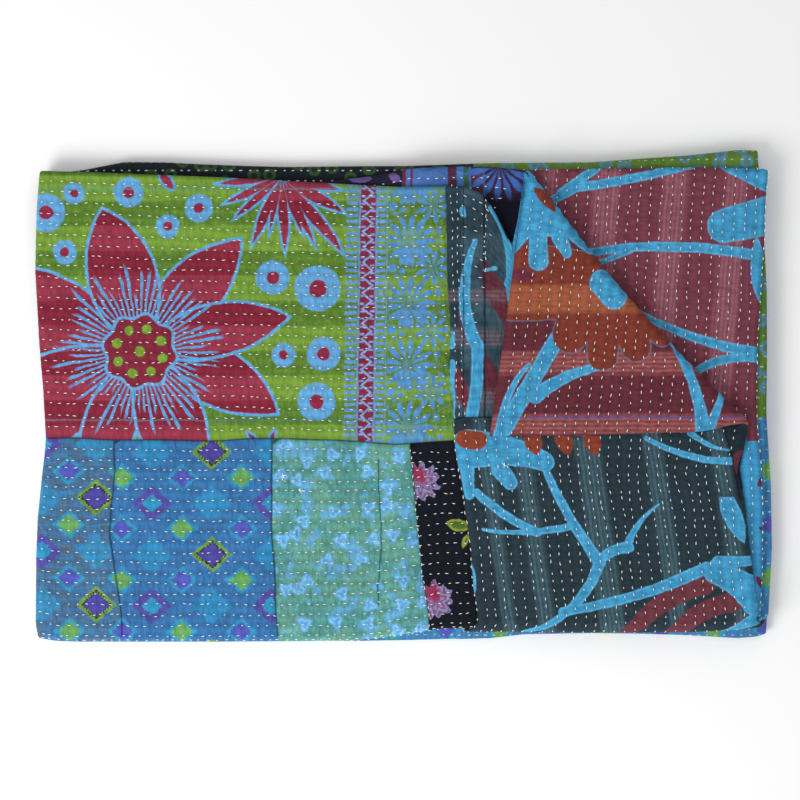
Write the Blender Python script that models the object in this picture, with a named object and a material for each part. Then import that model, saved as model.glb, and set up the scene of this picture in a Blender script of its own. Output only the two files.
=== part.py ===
# Throw blanket: one quilted cloth, folded across and then in three, with a corner turned over.
# Metres, Z up. X runs along the folded width, Y from front to back, and it rests on Z = 0.
import math

import bmesh
import bpy
import numpy as np
from mathutils import Vector

# The cloth and its layers.
CLOTH = 0.0020
GAP = 0.0010
PLY = CLOTH + GAP
THIN_STACK = 2 * PLY - GAP
THICK_STACK = 3 * PLY - GAP

# How the stack rises from two layers to three on the way to the flap's hem.
RISE_FROM = -0.035
RISE_TO = 0.032

# Side lines of the folded cloth, one row for each place along Y.
# y, left fold, right fold of the top layer, right fold below, flap hem of the top layer,
# flap hem below, right hem of the top layer, right hem below
SIDES = (
    (-0.2123, -0.3145, 0.3000, 0.3120, 0.0626, 0.0450, 0.3025, 0.3060),
    (-0.1990, -0.3171, 0.3025, 0.3160, 0.0621, 0.0450, 0.3051, 0.3080),
    (-0.1408, -0.3167, 0.2957, 0.3171, 0.0561, 0.0430, 0.3072, 0.3090),
    (-0.1065, -0.3154, 0.2914, 0.3167, 0.0518, 0.0420, 0.3072, 0.3100),
    (-0.0722, -0.3119, 0.2850, 0.3154, 0.0480, 0.0420, 0.3068, 0.3100),
    (-0.0379, -0.3085, 0.2935, 0.3128, 0.0433, 0.0420, 0.3025, 0.3110),
    (0.0049, -0.3107, 0.3010, 0.3105, 0.0411, 0.0410, 0.3021, 0.3115),
    (0.0478, -0.3141, 0.3040, 0.3105, 0.0390, 0.0400, 0.3038, 0.3119),
    (0.1078, -0.3175, 0.3070, 0.3100, 0.0373, 0.0400, 0.3072, 0.3111),
    (0.1635, -0.3162, 0.3090, 0.3075, 0.0360, 0.0400, 0.3107, 0.3070),
    (0.1950, -0.3137, 0.3095, 0.3051, 0.0356, 0.0400, 0.3119, 0.3040),
)

# Front and back lines, one row for each place along X.
# x, back hem of the two upper plies, back hem of the ply below them, outside of the back fold,
# outside of the front fold, front hem of the bottom layer
ENDS = (
    (-0.3171, 0.1935, 0.1890, 0.1905, -0.2085, -0.2060),
    (-0.3000, 0.1930, 0.1890, 0.1915, -0.2112, -0.2080),
    (-0.2820, 0.1925, 0.1885, 0.1928, -0.2119, -0.2095),
    (-0.2640, 0.1920, 0.1880, 0.2015, -0.2119, -0.2100),
    (-0.2262, 0.1905, 0.1865, 0.2029, -0.2119, -0.2105),
    (-0.1577, 0.1877, 0.1840, 0.1995, -0.2119, -0.2112),
    (-0.0977, 0.1844, 0.1815, 0.1978, -0.2115, -0.2116),
    (-0.0437, 0.1815, 0.1860, 0.1988, -0.2108, -0.2121),
    (-0.0034, 0.1792, 0.1945, 0.1985, -0.2072, -0.2115),
    (0.0309, 0.1789, 0.1965, 0.1995, -0.2030, -0.2106),
    (0.0737, 0.1850, 0.1965, 0.2010, -0.2026, -0.2095),
    (0.1037, 0.1918, 0.1935, 0.2012, -0.2030, -0.2060),
    (0.1594, 0.1930, 0.1943, 0.2016, -0.2033, -0.2050),
    (0.2022, 0.1935, 0.1950, 0.2046, -0.2033, -0.2055),
    (0.2451, 0.1935, 0.1955, 0.2076, -0.2030, -0.2068),
    (0.2880, 0.1935, 0.1948, 0.2123, -0.2010, -0.2093),
    (0.3051, 0.1935, 0.1940, 0.2118, -0.1990, -0.2080),
    (0.3171, 0.1930, 0.1930, 0.2090, -0.1965, -0.2035),
)

# How far the back hem of the upper plies is drawn forward beside the turned corner.
# x, depth
NOTCH = (
    (0.0380, 0.0000),
    (0.0523, 0.0030),
    (0.0651, 0.0105),
    (0.0737, 0.0215),
    (0.0823, 0.0370),
    (0.0926, 0.0600),
    (0.0965, 0.0560),
    (0.1030, 0.0000),
)
NOTCH_FROM = 0.60

# The diagonal fold of the turned corner, from the back hem to the right fold.
FOLD_BACK = (0.1007, 0.1894)
FOLD_RIGHT = (0.2978, -0.0356)
LOFT = 0.0015
TURNED_SHIFT = (-0.0058, -0.0251)
TURNED_REACH = 0.1430
SETTLE = 0.060
BOW = 0.0080
BOW_WIDTH = 0.050

# Soft ridges and troughs, as shares of the height at that place.
# x, y, direction in degrees, half length, half width, share
CREASES = (
    (-0.2350, 0.1420, 4, 0.100, 0.018, 0.060),
    (-0.1100, 0.1100, -5, 0.140, 0.022, -0.070),
    (-0.2300, 0.0450, 7, 0.110, 0.020, 0.070),
    (-0.0450, 0.0350, -4, 0.120, 0.024, 0.065),
    (-0.1500, -0.0150, 3, 0.150, 0.018, -0.070),
    (-0.2900, -0.0420, 12, 0.050, 0.016, -0.090),
    (-0.2250, -0.1050, 88, 0.080, 0.022, 0.070),
    (-0.1500, -0.1500, 4, 0.110, 0.020, -0.065),
    (-0.0650, -0.0950, 3, 0.080, 0.014, 0.080),
    (-0.0550, -0.1350, -4, 0.080, 0.013, -0.080),
    (-0.0450, -0.1740, 3, 0.080, 0.014, 0.080),
    (0.0300, -0.1250, 92, 0.080, 0.014, -0.060),
    (0.0860, 0.1420, 64, 0.045, 0.013, -0.180),
    (0.0620, 0.0500, 88, 0.110, 0.012, 0.060),
    (0.1250, -0.1150, 84, 0.080, 0.016, 0.060),
    (0.1950, -0.1250, 86, 0.080, 0.020, -0.060),
    (0.2580, -0.1150, 82, 0.080, 0.018, 0.060),
    (0.1900, -0.0330, -1, 0.120, 0.013, 0.070),
    (0.1500, 0.0600, 70, 0.080, 0.022, -0.045),
    (0.2300, 0.1250, 86, 0.070, 0.020, 0.060),
    (0.2920, 0.0700, 88, 0.070, 0.010, 0.090),
    (0.2950, -0.1200, 90, 0.080, 0.008, 0.060),
)

# How finely each stretch of the cloth is divided. Each pair is a place in X and the steps to it.
UNDER_STEPS = 9
MAIN_FROM = -0.310
MAIN_STEPS = ((-0.050, 8), (0.030, 4), (0.105, 8), (0.300, 6))
FLAP_FROM = 0.300
FLAP_STEPS = ((0.105, 6), (0.055, 5), (0.045, 1))
SIDE_STEPS = 5
ROW_TURNS = (0, 1, 2, 3, 4, 5)
ROW_PLACES = (-0.2090, 0.2000, 0.2000, -0.2060, -0.2060, 0.1935)
LOWER_ROWS = 7
TOP_ROWS = 13
END_STEPS = 7
CORNER_STEPS = 6

BASE_COLOR = (0.105, 0.185, 0.190, 1.0)
ROUGHNESS = 0.92
METALLIC = 0.0


def smooth(value):
    held = np.clip(value, 0.0, 1.0)
    return held * held * (3.0 - 2.0 * held)


def read(table, column, at):
    rows = np.array(table)
    return np.interp(at, rows[:, 0], rows[:, column])


def shares(start, steps):
    # From 0 to 1 over one stretch, with each pair's steps evenly up to its place.
    places = [start]
    for end, count in steps:
        last = places[-1]
        places += [last + (end - last) * (k + 1) / count for k in range(count)]
    return [(place - start) / (places[-1] - start) for place in places]


def stretches(parts):
    # One number for each line across the cloth: 0 to 1 over the first stretch, and so on.
    lines = [0.0]
    for index, part in enumerate(parts):
        lines += [index + share for share in part[1:]]
    return np.array(lines)


def evenly(count):
    return [k / count for k in range(count + 1)]


def stack(x):
    # Height of the layers that are turned together, before they are folded in three.
    share = smooth((x - RISE_FROM) / (RISE_TO - RISE_FROM))
    return THIN_STACK + (THICK_STACK - THIN_STACK) * share


def between(first, last, share):
    return first + (last - first) * np.clip(share, 0.0, 1.0)


def across(v, u, face):
    # Place in X and height in the stack, for the line v of the row u and one face of the cloth.
    y = np.interp(u, ROW_TURNS, ROW_PLACES)
    top = np.clip(u - 3.0, 0.0, 1.0)
    left = read(SIDES, 1, y)
    right = between(read(SIDES, 3, y), read(SIDES, 2, y), top)
    flap_hem = between(read(SIDES, 5, y), read(SIDES, 4, y), top)
    under_hem = between(read(SIDES, 7, y), read(SIDES, 6, y), top)
    radius = PLY / 2
    left += radius + CLOTH / 2
    right -= radius + CLOTH / 2
    first = math.pi * np.clip(v - 1.0, 0.0, 1.0)
    second = math.pi * np.clip(v - 3.0, 0.0, 1.0)
    x = np.where(v <= 1, between(under_hem, left, v), left - radius * np.sin(first))
    x = np.where(v > 2, between(left, right, v - 2), x)
    x = np.where(v > 3, right + radius * np.sin(second), x)
    x = np.where(v > 4, between(right, flap_hem, v - 4), x)
    height = CLOTH / 2 + radius * (1 - np.cos(first)) + radius * (1 - np.cos(second))
    lean = math.pi - first + second
    x = x - np.sin(lean) * face * CLOTH / 2
    height = height + np.cos(lean) * face * CLOTH / 2
    return x, height


def along(v, u, x, height):
    # Place in Y and in Z, for the line v of the row u.
    pile = stack(x)
    axis = pile + GAP / 2
    under = read(ENDS, 5, x)
    back = read(ENDS, 3, x) - axis
    front = read(ENDS, 4, x) + axis
    upper = np.clip(v - 1.0, 0.0, 1.0)
    hem = between(read(ENDS, 2, x), read(ENDS, 1, x), upper)
    drawn = read(NOTCH, 1, x) * upper * smooth((u - 4 - NOTCH_FROM) / (1 - NOTCH_FROM))
    first = math.pi * np.clip(u - 1.0, 0.0, 1.0)
    second = math.pi * np.clip(u - 3.0, 0.0, 1.0)
    inner = axis - height
    outer = height + GAP / 2
    y = np.where(u <= 1, between(under, back, u), back + inner * np.sin(first))
    y = np.where(u > 2, between(back, front, u - 2), y)
    y = np.where(u > 3, front - outer * np.sin(second), y)
    y = np.where(u > 4, between(front, hem, u - 4) - drawn, y)
    z = np.where(u <= 3, axis - inner * np.cos(first), 2 * axis + GAP / 2 - outer * np.cos(second))
    return y, z


def relief(x, y):
    total = np.zeros_like(x)
    for cx, cy, degrees, half_length, half_width, share in CREASES:
        angle = math.radians(degrees)
        run = (x - cx) * math.cos(angle) + (y - cy) * math.sin(angle)
        side = (y - cy) * math.cos(angle) - (x - cx) * math.sin(angle)
        total += share * np.exp(-((side / half_width) ** 2)) * smooth(1.5 - np.abs(run) / half_length)
    return total


def fold_frame():
    # Where the diagonal fold starts, its length, its direction and the direction of the corner.
    back = np.array(FOLD_BACK)
    run = np.array(FOLD_RIGHT) - back
    length = np.linalg.norm(run)
    run = run / length
    return back, length, run, np.array([-run[1], run[0]])


def turned(point, distance, out_way):
    # A point of the corner once it is turned over the diagonal fold.
    middle = LOFT + (PLY * 2 - GAP) / 2
    axis = 2 * (THICK_STACK + GAP) + THICK_STACK + LOFT
    angle = min(distance / middle, math.pi)
    radius = axis - point[2]
    beyond = max(0.0, distance - math.pi * middle)
    out = radius * math.sin(angle) - beyond
    share = beyond / TURNED_REACH
    low = (2 * LOFT - GAP) * float(smooth(beyond / SETTLE))
    flat = point[:2] + (out - distance) * out_way + share * np.array(TURNED_SHIFT)
    return Vector((flat[0], flat[1], axis - radius * math.cos(angle) - low))


def sheet_mesh():
    side = evenly(SIDE_STEPS)
    main = shares(MAIN_FROM, MAIN_STEPS)
    flap = shares(FLAP_FROM, FLAP_STEPS)
    columns = stretches((evenly(UNDER_STEPS), side, main, side, flap))
    lower = evenly(LOWER_ROWS)
    end = evenly(END_STEPS)
    rows = stretches((lower, end, lower, end, evenly(TOP_ROWS)))
    v, u = np.meshgrid(columns, rows)
    mesh = bmesh.new()
    leaf = mesh.faces.layers.int.new("leaf")
    sides = {}
    for face in (1, -1):
        x, height = across(v, u, face)
        y, z = along(v, u, x, height)
        points = np.stack([x, y, z], axis=-1).reshape(-1, 3)
        sides[face] = [mesh.verts.new(point) for point in points.tolist()]
    wide = len(columns)
    tall = len(rows)

    def at(face, row, column):
        return sides[face][row * wide + column]

    def add(corners, row, column):
        made = mesh.faces.new(corners)
        made[leaf] = int(rows[row] >= 4 and columns[column] >= 2)

    for row in range(tall - 1):
        for column in range(wide - 1):
            ring = ((row, column), (row, column + 1), (row + 1, column + 1), (row + 1, column))
            add([at(1, *place) for place in ring], row, column)
            add([at(-1, *place) for place in reversed(ring)], row, column)
    for row in range(tall - 1):
        for column in (0, wide - 1):
            ends = (at(1, row, column), at(1, row + 1, column))
            add([*ends, at(-1, row + 1, column), at(-1, row, column)], row, column)
    for column in range(wide - 1):
        for row in (0, tall - 1):
            ends = (at(1, row, column), at(1, row, column + 1))
            add([*ends, at(-1, row, column + 1), at(-1, row, column)], row, column)
    return mesh, leaf


def turn_corner(mesh, leaf):
    start, length, run, out_way = fold_frame()
    middle = LOFT + (PLY * 2 - GAP) / 2
    for step in range(CORNER_STEPS + 1):
        place = start + out_way * (math.pi * middle * step / CORNER_STEPS)
        faces = [f for f in mesh.faces if f[leaf] and f.calc_center_median().x > 0]
        edges = list({e for f in faces for e in f.edges})
        verts = list({w for f in faces for w in f.verts})
        bmesh.ops.bisect_plane(
            mesh,
            geom=verts + edges + faces,
            dist=0.00005,
            plane_co=(place[0], place[1], 0.0),
            plane_no=(out_way[0], out_way[1], 0.0),
        )
    moved = {w for f in mesh.faces if f[leaf] for w in f.verts}
    for vert in moved:
        point = np.array(vert.co)
        distance = float((point[:2] - start) @ out_way)
        if point[0] > 0 and distance > 0:
            vert.co = turned(point, distance, out_way)
        point = np.array(vert.co)[:2] - start
        share = min(max(float(point @ run) / length, 0.0), 1.0)
        near = math.exp(-((float(point @ out_way) / BOW_WIDTH) ** 2))
        bowed = -BOW * math.sin(math.pi * share) * near * out_way
        vert.co += Vector((bowed[0], bowed[1], 0.0))


def shape_relief(mesh):
    points = np.array([vert.co for vert in mesh.verts])
    rise = 1.0 + relief(points[:, 0], points[:, 1])
    for vert, share in zip(mesh.verts, rise):
        vert.co.z *= float(share)


def rest_on_origin(mesh):
    points = np.array([vert.co for vert in mesh.verts])
    low = points.min(axis=0)
    high = points.max(axis=0)
    bmesh.ops.translate(
        mesh,
        verts=mesh.verts,
        vec=(-(low[0] + high[0]) / 2, -(low[1] + high[1]) / 2, -low[2]),
    )


def cloth_material():
    material = bpy.data.materials.new("quilted_cotton")
    material.use_nodes = True
    shader = material.node_tree.nodes["Principled BSDF"]
    shader.inputs["Base Color"].default_value = BASE_COLOR
    shader.inputs["Roughness"].default_value = ROUGHNESS
    shader.inputs["Metallic"].default_value = METALLIC
    return material


def build_throw():
    mesh, leaf = sheet_mesh()
    turn_corner(mesh, leaf)
    shape_relief(mesh)
    rest_on_origin(mesh)
    bmesh.ops.triangulate(mesh, faces=mesh.faces)
    bmesh.ops.recalc_face_normals(mesh, faces=mesh.faces)
    data = bpy.data.meshes.new("throw")
    mesh.to_mesh(data)
    mesh.free()
    throw = bpy.data.objects.new("throw", data)
    bpy.context.scene.collection.objects.link(throw)
    data.materials.append(cloth_material())


for old in list(bpy.data.objects):
    bpy.data.objects.remove(old)
build_throw()
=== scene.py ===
import math

import bmesh
import bpy
import numpy as np
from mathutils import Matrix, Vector
from mathutils.bvhtree import BVHTree


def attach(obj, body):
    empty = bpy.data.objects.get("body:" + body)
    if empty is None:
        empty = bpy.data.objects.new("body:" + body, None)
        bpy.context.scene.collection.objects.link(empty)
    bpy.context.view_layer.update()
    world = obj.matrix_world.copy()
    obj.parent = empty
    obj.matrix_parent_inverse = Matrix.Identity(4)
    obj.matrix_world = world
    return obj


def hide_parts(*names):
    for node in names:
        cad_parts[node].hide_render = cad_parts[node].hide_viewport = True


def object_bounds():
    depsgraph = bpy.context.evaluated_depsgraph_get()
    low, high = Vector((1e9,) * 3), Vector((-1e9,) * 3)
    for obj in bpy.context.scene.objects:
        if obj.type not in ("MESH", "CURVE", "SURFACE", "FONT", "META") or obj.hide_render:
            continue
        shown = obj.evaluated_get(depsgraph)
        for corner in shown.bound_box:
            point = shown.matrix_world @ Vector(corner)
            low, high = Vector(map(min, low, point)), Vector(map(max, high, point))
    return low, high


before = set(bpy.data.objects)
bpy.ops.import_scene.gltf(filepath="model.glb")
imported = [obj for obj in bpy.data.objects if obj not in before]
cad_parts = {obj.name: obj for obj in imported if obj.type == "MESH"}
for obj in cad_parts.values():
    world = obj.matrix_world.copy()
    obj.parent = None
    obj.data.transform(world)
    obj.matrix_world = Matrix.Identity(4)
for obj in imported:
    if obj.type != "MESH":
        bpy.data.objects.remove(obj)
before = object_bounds()

# The throw. Sizes are in metres, and each thing that a user would change is here.
throw = {
    "flat": (1.27, 1.52),
    "cloth": 0.0020,  # thickness of one ply
    "gap": 0.0010,  # air between two plies
    "rise": (-0.035, 0.032),  # from which X to which the stack grows from two plies to three
    "rowTurns": (0, 1, 2, 3, 4, 5),
    "rowPlaces": (-0.2090, 0.2000, 0.2000, -0.2060, -0.2060, 0.1935),  # Y at each of these turns
    "foldBack": (0.1007, 0.1894),  # the two ends of the diagonal fold
    "foldRight": (0.2978, -0.0356),
    "loft": 0.0015,  # air under the turned corner
    "turnedShift": (-0.0058, -0.0251),  # how far its tip is drawn aside,
    "turnedReach": 0.1430,  # at this distance from the fold
    "settle": 0.060,  # and how far from the fold it lies down
    "bow": 0.0080,  # how far the diagonal fold bows, and how wide the bend is
    "bowWidth": 0.050,
    "notchFrom": 0.60,  # share of the top layer from which the hem notch is drawn
    "puffSeen": 0.0013,  # how far cloth stands out between stitched rows
    "puffHidden": 0.0002,
    "puffUneven": (0.80, 0.45),  # the least share of that, and the share that varies
    "seamDepth": 0.0004,
    "wobble": 0.0009,  # how far the stitched rows wander
    "unevenShare": 0.012,
    "unevenSize": 0.075,
    "patchReach": 0.045,  # how far the cloth follows the wander of each kind of seam
    "panelReach": 0.040,
    "flapReach": 0.030,
    "sideSteps": 6,
    "lowerRows": 7,
    "endSteps": 9,
    "topRows": 88,
    "cornerSteps": 8,
    "under": (0.310, ((0.103, 46), (0.040, 8), (-0.310, 10))),  # start, then end and columns
    "main": (-0.310, ((-0.050, 47), (0.030, 15), (0.105, 14), (0.300, 36))),
    "flap": (0.300, ((0.045, 56),)),
    "seed": 11,
}

# y, left fold, right fold of the top layer, right fold below, flap hem of the top layer,
# flap hem below, right hem of the top layer, right hem below
sides = (
    (-0.2123, -0.3145, 0.3000, 0.3120, 0.0626, 0.0450, 0.3025, 0.3060),
    (-0.1990, -0.3171, 0.3025, 0.3160, 0.0621, 0.0450, 0.3051, 0.3080),
    (-0.1408, -0.3167, 0.2957, 0.3171, 0.0561, 0.0430, 0.3072, 0.3090),
    (-0.1065, -0.3154, 0.2914, 0.3167, 0.0518, 0.0420, 0.3072, 0.3100),
    (-0.0722, -0.3119, 0.2850, 0.3154, 0.0480, 0.0420, 0.3068, 0.3100),
    (-0.0379, -0.3085, 0.2935, 0.3128, 0.0433, 0.0420, 0.3025, 0.3110),
    (0.0049, -0.3107, 0.3010, 0.3105, 0.0411, 0.0410, 0.3021, 0.3115),
    (0.0478, -0.3141, 0.3040, 0.3105, 0.0390, 0.0400, 0.3038, 0.3119),
    (0.1078, -0.3175, 0.3070, 0.3100, 0.0373, 0.0400, 0.3072, 0.3111),
    (0.1635, -0.3162, 0.3090, 0.3075, 0.0360, 0.0400, 0.3107, 0.3070),
    (0.1950, -0.3137, 0.3095, 0.3051, 0.0356, 0.0400, 0.3119, 0.3040),
)

# x, back hem of the two upper plies, back hem of the ply below them, outside of the back fold,
# outside of the front fold, front hem of the bottom layer
ends = (
    (-0.3171, 0.1935, 0.1890, 0.1905, -0.2085, -0.2060),
    (-0.3000, 0.1930, 0.1890, 0.1915, -0.2112, -0.2080),
    (-0.2820, 0.1925, 0.1885, 0.1928, -0.2119, -0.2095),
    (-0.2640, 0.1920, 0.1880, 0.2015, -0.2119, -0.2100),
    (-0.2262, 0.1905, 0.1865, 0.2029, -0.2119, -0.2105),
    (-0.1577, 0.1877, 0.1840, 0.1995, -0.2119, -0.2112),
    (-0.0977, 0.1844, 0.1815, 0.1978, -0.2115, -0.2116),
    (-0.0437, 0.1815, 0.1860, 0.1988, -0.2108, -0.2121),
    (-0.0034, 0.1792, 0.1945, 0.1985, -0.2072, -0.2115),
    (0.0309, 0.1789, 0.1965, 0.1995, -0.2030, -0.2106),
    (0.0737, 0.1850, 0.1965, 0.2010, -0.2026, -0.2095),
    (0.1037, 0.1918, 0.1935, 0.2012, -0.2030, -0.2060),
    (0.1594, 0.1930, 0.1943, 0.2016, -0.2033, -0.2050),
    (0.2022, 0.1935, 0.1950, 0.2046, -0.2033, -0.2055),
    (0.2451, 0.1935, 0.1955, 0.2076, -0.2030, -0.2068),
    (0.2880, 0.1935, 0.1948, 0.2123, -0.2010, -0.2093),
    (0.3051, 0.1935, 0.1940, 0.2118, -0.1990, -0.2080),
    (0.3171, 0.1930, 0.1930, 0.2090, -0.1965, -0.2035),
)

# How far the back hem of the upper plies is drawn forward beside the turned corner: x, depth
notch = (
    (0.0380, 0.0000),
    (0.0523, 0.0030),
    (0.0651, 0.0105),
    (0.0737, 0.0215),
    (0.0823, 0.0370),
    (0.0926, 0.0600),
    (0.0965, 0.0560),
    (0.1030, 0.0000),
)

# Soft ridges and troughs: x, y, direction in degrees, half length, half width, share of the height
creases = (
    (-0.2350, 0.1420, 4, 0.100, 0.018, 0.060),
    (-0.1100, 0.1100, -5, 0.140, 0.022, -0.070),
    (-0.2300, 0.0450, 7, 0.110, 0.020, 0.070),
    (-0.0450, 0.0350, -4, 0.120, 0.024, 0.065),
    (-0.1500, -0.0150, 3, 0.150, 0.018, -0.070),
    (-0.2900, -0.0420, 12, 0.050, 0.016, -0.090),
    (-0.2250, -0.1050, 88, 0.080, 0.022, 0.070),
    (-0.1500, -0.1500, 4, 0.110, 0.020, -0.065),
    (-0.0650, -0.0950, 3, 0.080, 0.014, 0.080),
    (-0.0550, -0.1350, -4, 0.080, 0.013, -0.080),
    (-0.0450, -0.1740, 3, 0.080, 0.014, 0.080),
    (0.0300, -0.1250, 92, 0.080, 0.014, -0.060),
    (0.0860, 0.1420, 64, 0.045, 0.013, -0.180),
    (0.0620, 0.0500, 88, 0.110, 0.012, 0.060),
    (0.1250, -0.1150, 84, 0.080, 0.016, 0.060),
    (0.1950, -0.1250, 86, 0.080, 0.020, -0.060),
    (0.2580, -0.1150, 82, 0.080, 0.018, 0.060),
    (0.1900, -0.0330, -1, 0.120, 0.013, 0.070),
    (0.1500, 0.0600, 70, 0.080, 0.022, -0.045),
    (0.2300, 0.1250, 86, 0.070, 0.020, 0.060),
    (0.2920, 0.0700, 88, 0.070, 0.010, 0.090),
    (0.2950, -0.1200, 90, 0.080, 0.008, 0.060),
    (-0.0500, -0.0960, 3, 0.050, 0.0045, 0.040),
    (-0.0400, -0.1140, -4, 0.045, 0.0040, -0.040),
    (-0.0480, -0.1380, 2, 0.055, 0.0045, 0.040),
    (-0.0430, -0.1740, 4, 0.055, 0.0045, -0.040),
    (-0.1700, -0.1120, -3, 0.040, 0.0045, 0.035),
    (-0.1850, -0.1640, 3, 0.050, 0.0045, -0.035),
    (0.0560, 0.0850, 84, 0.060, 0.0040, -0.040),
    (0.0700, 0.0150, 96, 0.055, 0.0040, 0.035),
    (0.0950, -0.1200, 86, 0.065, 0.0045, -0.035),
    (0.2200, -0.1050, 83, 0.060, 0.0050, 0.035),
    (-0.0200, 0.1450, 8, 0.035, 0.0045, -0.035),
    (0.2850, 0.1000, 86, 0.060, 0.0045, -0.040),
    (0.2830, -0.0650, 102, 0.035, 0.0035, -0.050),
)

# Seams across the width: the y of each seam at some x
panelSeam = (
    (-0.3085, -0.0365),
    (-0.2000, -0.0385),
    (-0.0900, -0.0370),
    (0.0000, -0.0410),
    (0.0450, -0.0400),
)
flapSeam = ((0.0400, -0.0190), (0.0800, -0.0170), (0.1200, -0.0160))

# Seams between the lower patches: column's x, then its x at y -0.205, -0.12 and -0.038
patchSeams = (
    (-0.2480, -0.2425, -0.2525, -0.2490),
    (-0.1125, -0.1085, -0.1135, -0.1140),
    (0.0140, 0.0225, 0.0120, 0.0050),
)
patchPlaces = (-0.205, -0.12, -0.038)

# Where one cloth gives way to the next, apart from the seams above
cuts = {
    "panelEnd": 0.070,
    "rustFrom": 0.094,
    "rustBack": 0.130,
    "hemFrom": 0.092,
    "rayEnd": 0.100,
    "blackEnd": 0.060,
    "flap": -0.036,
    "under": -0.035,
}


def smooth(value):
    held = np.clip(value, 0.0, 1.0)
    return held * held * (3.0 - 2.0 * held)


def read(table, column, at):
    rows = np.array(table)
    return np.interp(at, rows[:, 0], rows[:, column])


def between(first, last, share):
    return first + (last - first) * np.clip(share, 0.0, 1.0)


def wander(x, y, size, seed):
    # A smooth field of about -1 to 1 whose humps are about that size.
    rng = np.random.default_rng(throw["seed"] + seed)
    total = np.zeros_like(np.asarray(x, float) + np.asarray(y, float))
    for _ in range(9):
        way = rng.uniform(0, 2 * math.pi)
        wave = 2 * math.pi / size * rng.uniform(0.45, 1.1)
        run = x * math.cos(way) + y * math.sin(way)
        total = total + np.sin(wave * run + rng.uniform(0, 6.28))
    return total / 3.6


def lineShares(start, steps):
    places = [start]
    for end, count in steps:
        last = places[-1]
        places += [last + (end - last) * (k + 1) / count for k in range(count)]
    return [(place - start) / (places[-1] - start) for place in places]


def gridLines(parts):
    made = [0.0]
    for index, part in enumerate(parts):
        made += [index + share for share in part[1:]]
    return np.array(made)


def evenly(count):
    return [k / count for k in range(count + 1)]


ply = throw["cloth"] + throw["gap"]
thinStack = 2 * ply - throw["gap"]
thickStack = 3 * ply - throw["gap"]
half = throw["cloth"] / 2


def stack(x):
    low, high = throw["rise"]
    return thinStack + (thickStack - thinStack) * smooth((x - low) / (high - low))


def across(v, u, face):
    # Place in X, height in the stack and the cloth's own flat X, for the line v of the row u.
    y = np.interp(u, throw["rowTurns"], throw["rowPlaces"])
    top = np.clip(u - 3.0, 0.0, 1.0)
    radius = ply / 2
    left = read(sides, 1, y) + radius + half
    right = between(read(sides, 3, y), read(sides, 2, y), top) - radius - half
    flapHem = between(read(sides, 5, y), read(sides, 4, y), top)
    underHem = between(read(sides, 7, y), read(sides, 6, y), top)
    first = math.pi * np.clip(v - 1.0, 0.0, 1.0)
    second = math.pi * np.clip(v - 3.0, 0.0, 1.0)
    x = np.where(v <= 1, between(underHem, left, v), left - radius * np.sin(first))
    x = np.where(v > 2, between(left, right, v - 2), x)
    x = np.where(v > 3, right + radius * np.sin(second), x)
    x = np.where(v > 4, between(right, flapHem, v - 4), x)
    height = half + radius * (1 - np.cos(first)) + radius * (1 - np.cos(second))
    lean = math.pi - first + second
    flat = np.where(v < 2, left - radius * (math.pi - first), x)
    flat = np.where(v <= 1, x, flat)
    flat = np.where((v > 3) & (v < 4), right + radius * np.minimum(second, math.pi - second), flat)
    x = x - np.sin(lean) * face * half
    height = height + np.cos(lean) * face * half
    return x, height, flat


def along(v, u, x, height):
    # Place in Y, in Z and the cloth's own flat Y, for the row u.
    axis = stack(x) + throw["gap"] / 2
    under = read(ends, 5, x)
    back = read(ends, 3, x) - axis
    front = read(ends, 4, x) + axis
    upper = np.clip(v - 1.0, 0.0, 1.0)
    hem = between(read(ends, 2, x), read(ends, 1, x), upper)
    share = (u - 4 - throw["notchFrom"]) / (1 - throw["notchFrom"])
    drawn = read(notch, 1, x) * upper * smooth(share)
    first = math.pi * np.clip(u - 1.0, 0.0, 1.0)
    second = math.pi * np.clip(u - 3.0, 0.0, 1.0)
    inner = axis - height
    outer = height + throw["gap"] / 2
    y = np.where(u <= 1, between(under, back, u), back + inner * np.sin(first))
    y = np.where(u > 2, between(back, front, u - 2), y)
    y = np.where(u > 3, front - outer * np.sin(second), y)
    y = np.where(u > 4, between(front, hem, u - 4) - drawn, y)
    low = axis - inner * np.cos(first)
    z = np.where(u <= 3, low, 2 * axis + throw["gap"] / 2 - outer * np.cos(second))
    flat = np.where((u > 1) & (u < 2), back + inner * np.minimum(first, math.pi - first), y)
    flat = np.where((u > 3) & (u < 4), front - outer * np.minimum(second, math.pi - second), flat)
    return y, z, flat


def relief(x, y):
    total = np.zeros_like(x)
    for cx, cy, degrees, halfLength, halfWidth, share in creases:
        angle = math.radians(degrees)
        run = (x - cx) * math.cos(angle) + (y - cy) * math.sin(angle)
        side = (y - cy) * math.cos(angle) - (x - cx) * math.sin(angle)
        total += share * np.exp(-((side / halfWidth) ** 2)) * smooth(1.5 - np.abs(run) / halfLength)
    return total + throw["unevenShare"] * wander(x, y, throw["unevenSize"], 1)


foldStart = np.array(throw["foldBack"])
foldRun = np.array(throw["foldRight"]) - foldStart
foldLength = float(np.linalg.norm(foldRun))
foldRun = foldRun / foldLength
foldOut = np.array([-foldRun[1], foldRun[0]])
turnRadius = throw["loft"] + thinStack / 2


def turned(points, distance):
    # Points of the corner once it is turned over the diagonal fold.
    loft = throw["loft"]
    axis = 2 * (thickStack + throw["gap"]) + thickStack + loft
    angle = np.minimum(distance / turnRadius, math.pi)
    radius = axis - points[:, 2]
    beyond = np.maximum(0.0, distance - math.pi * turnRadius)
    out = radius * np.sin(angle) - beyond
    low = (2 * loft - throw["gap"]) * smooth(beyond / throw["settle"])
    flat = points[:, :2] + (out - distance)[:, None] * foldOut
    flat += (beyond / throw["turnedReach"])[:, None] * np.array(throw["turnedShift"])
    return np.column_stack([flat, axis - radius * np.cos(angle) - low])


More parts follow.
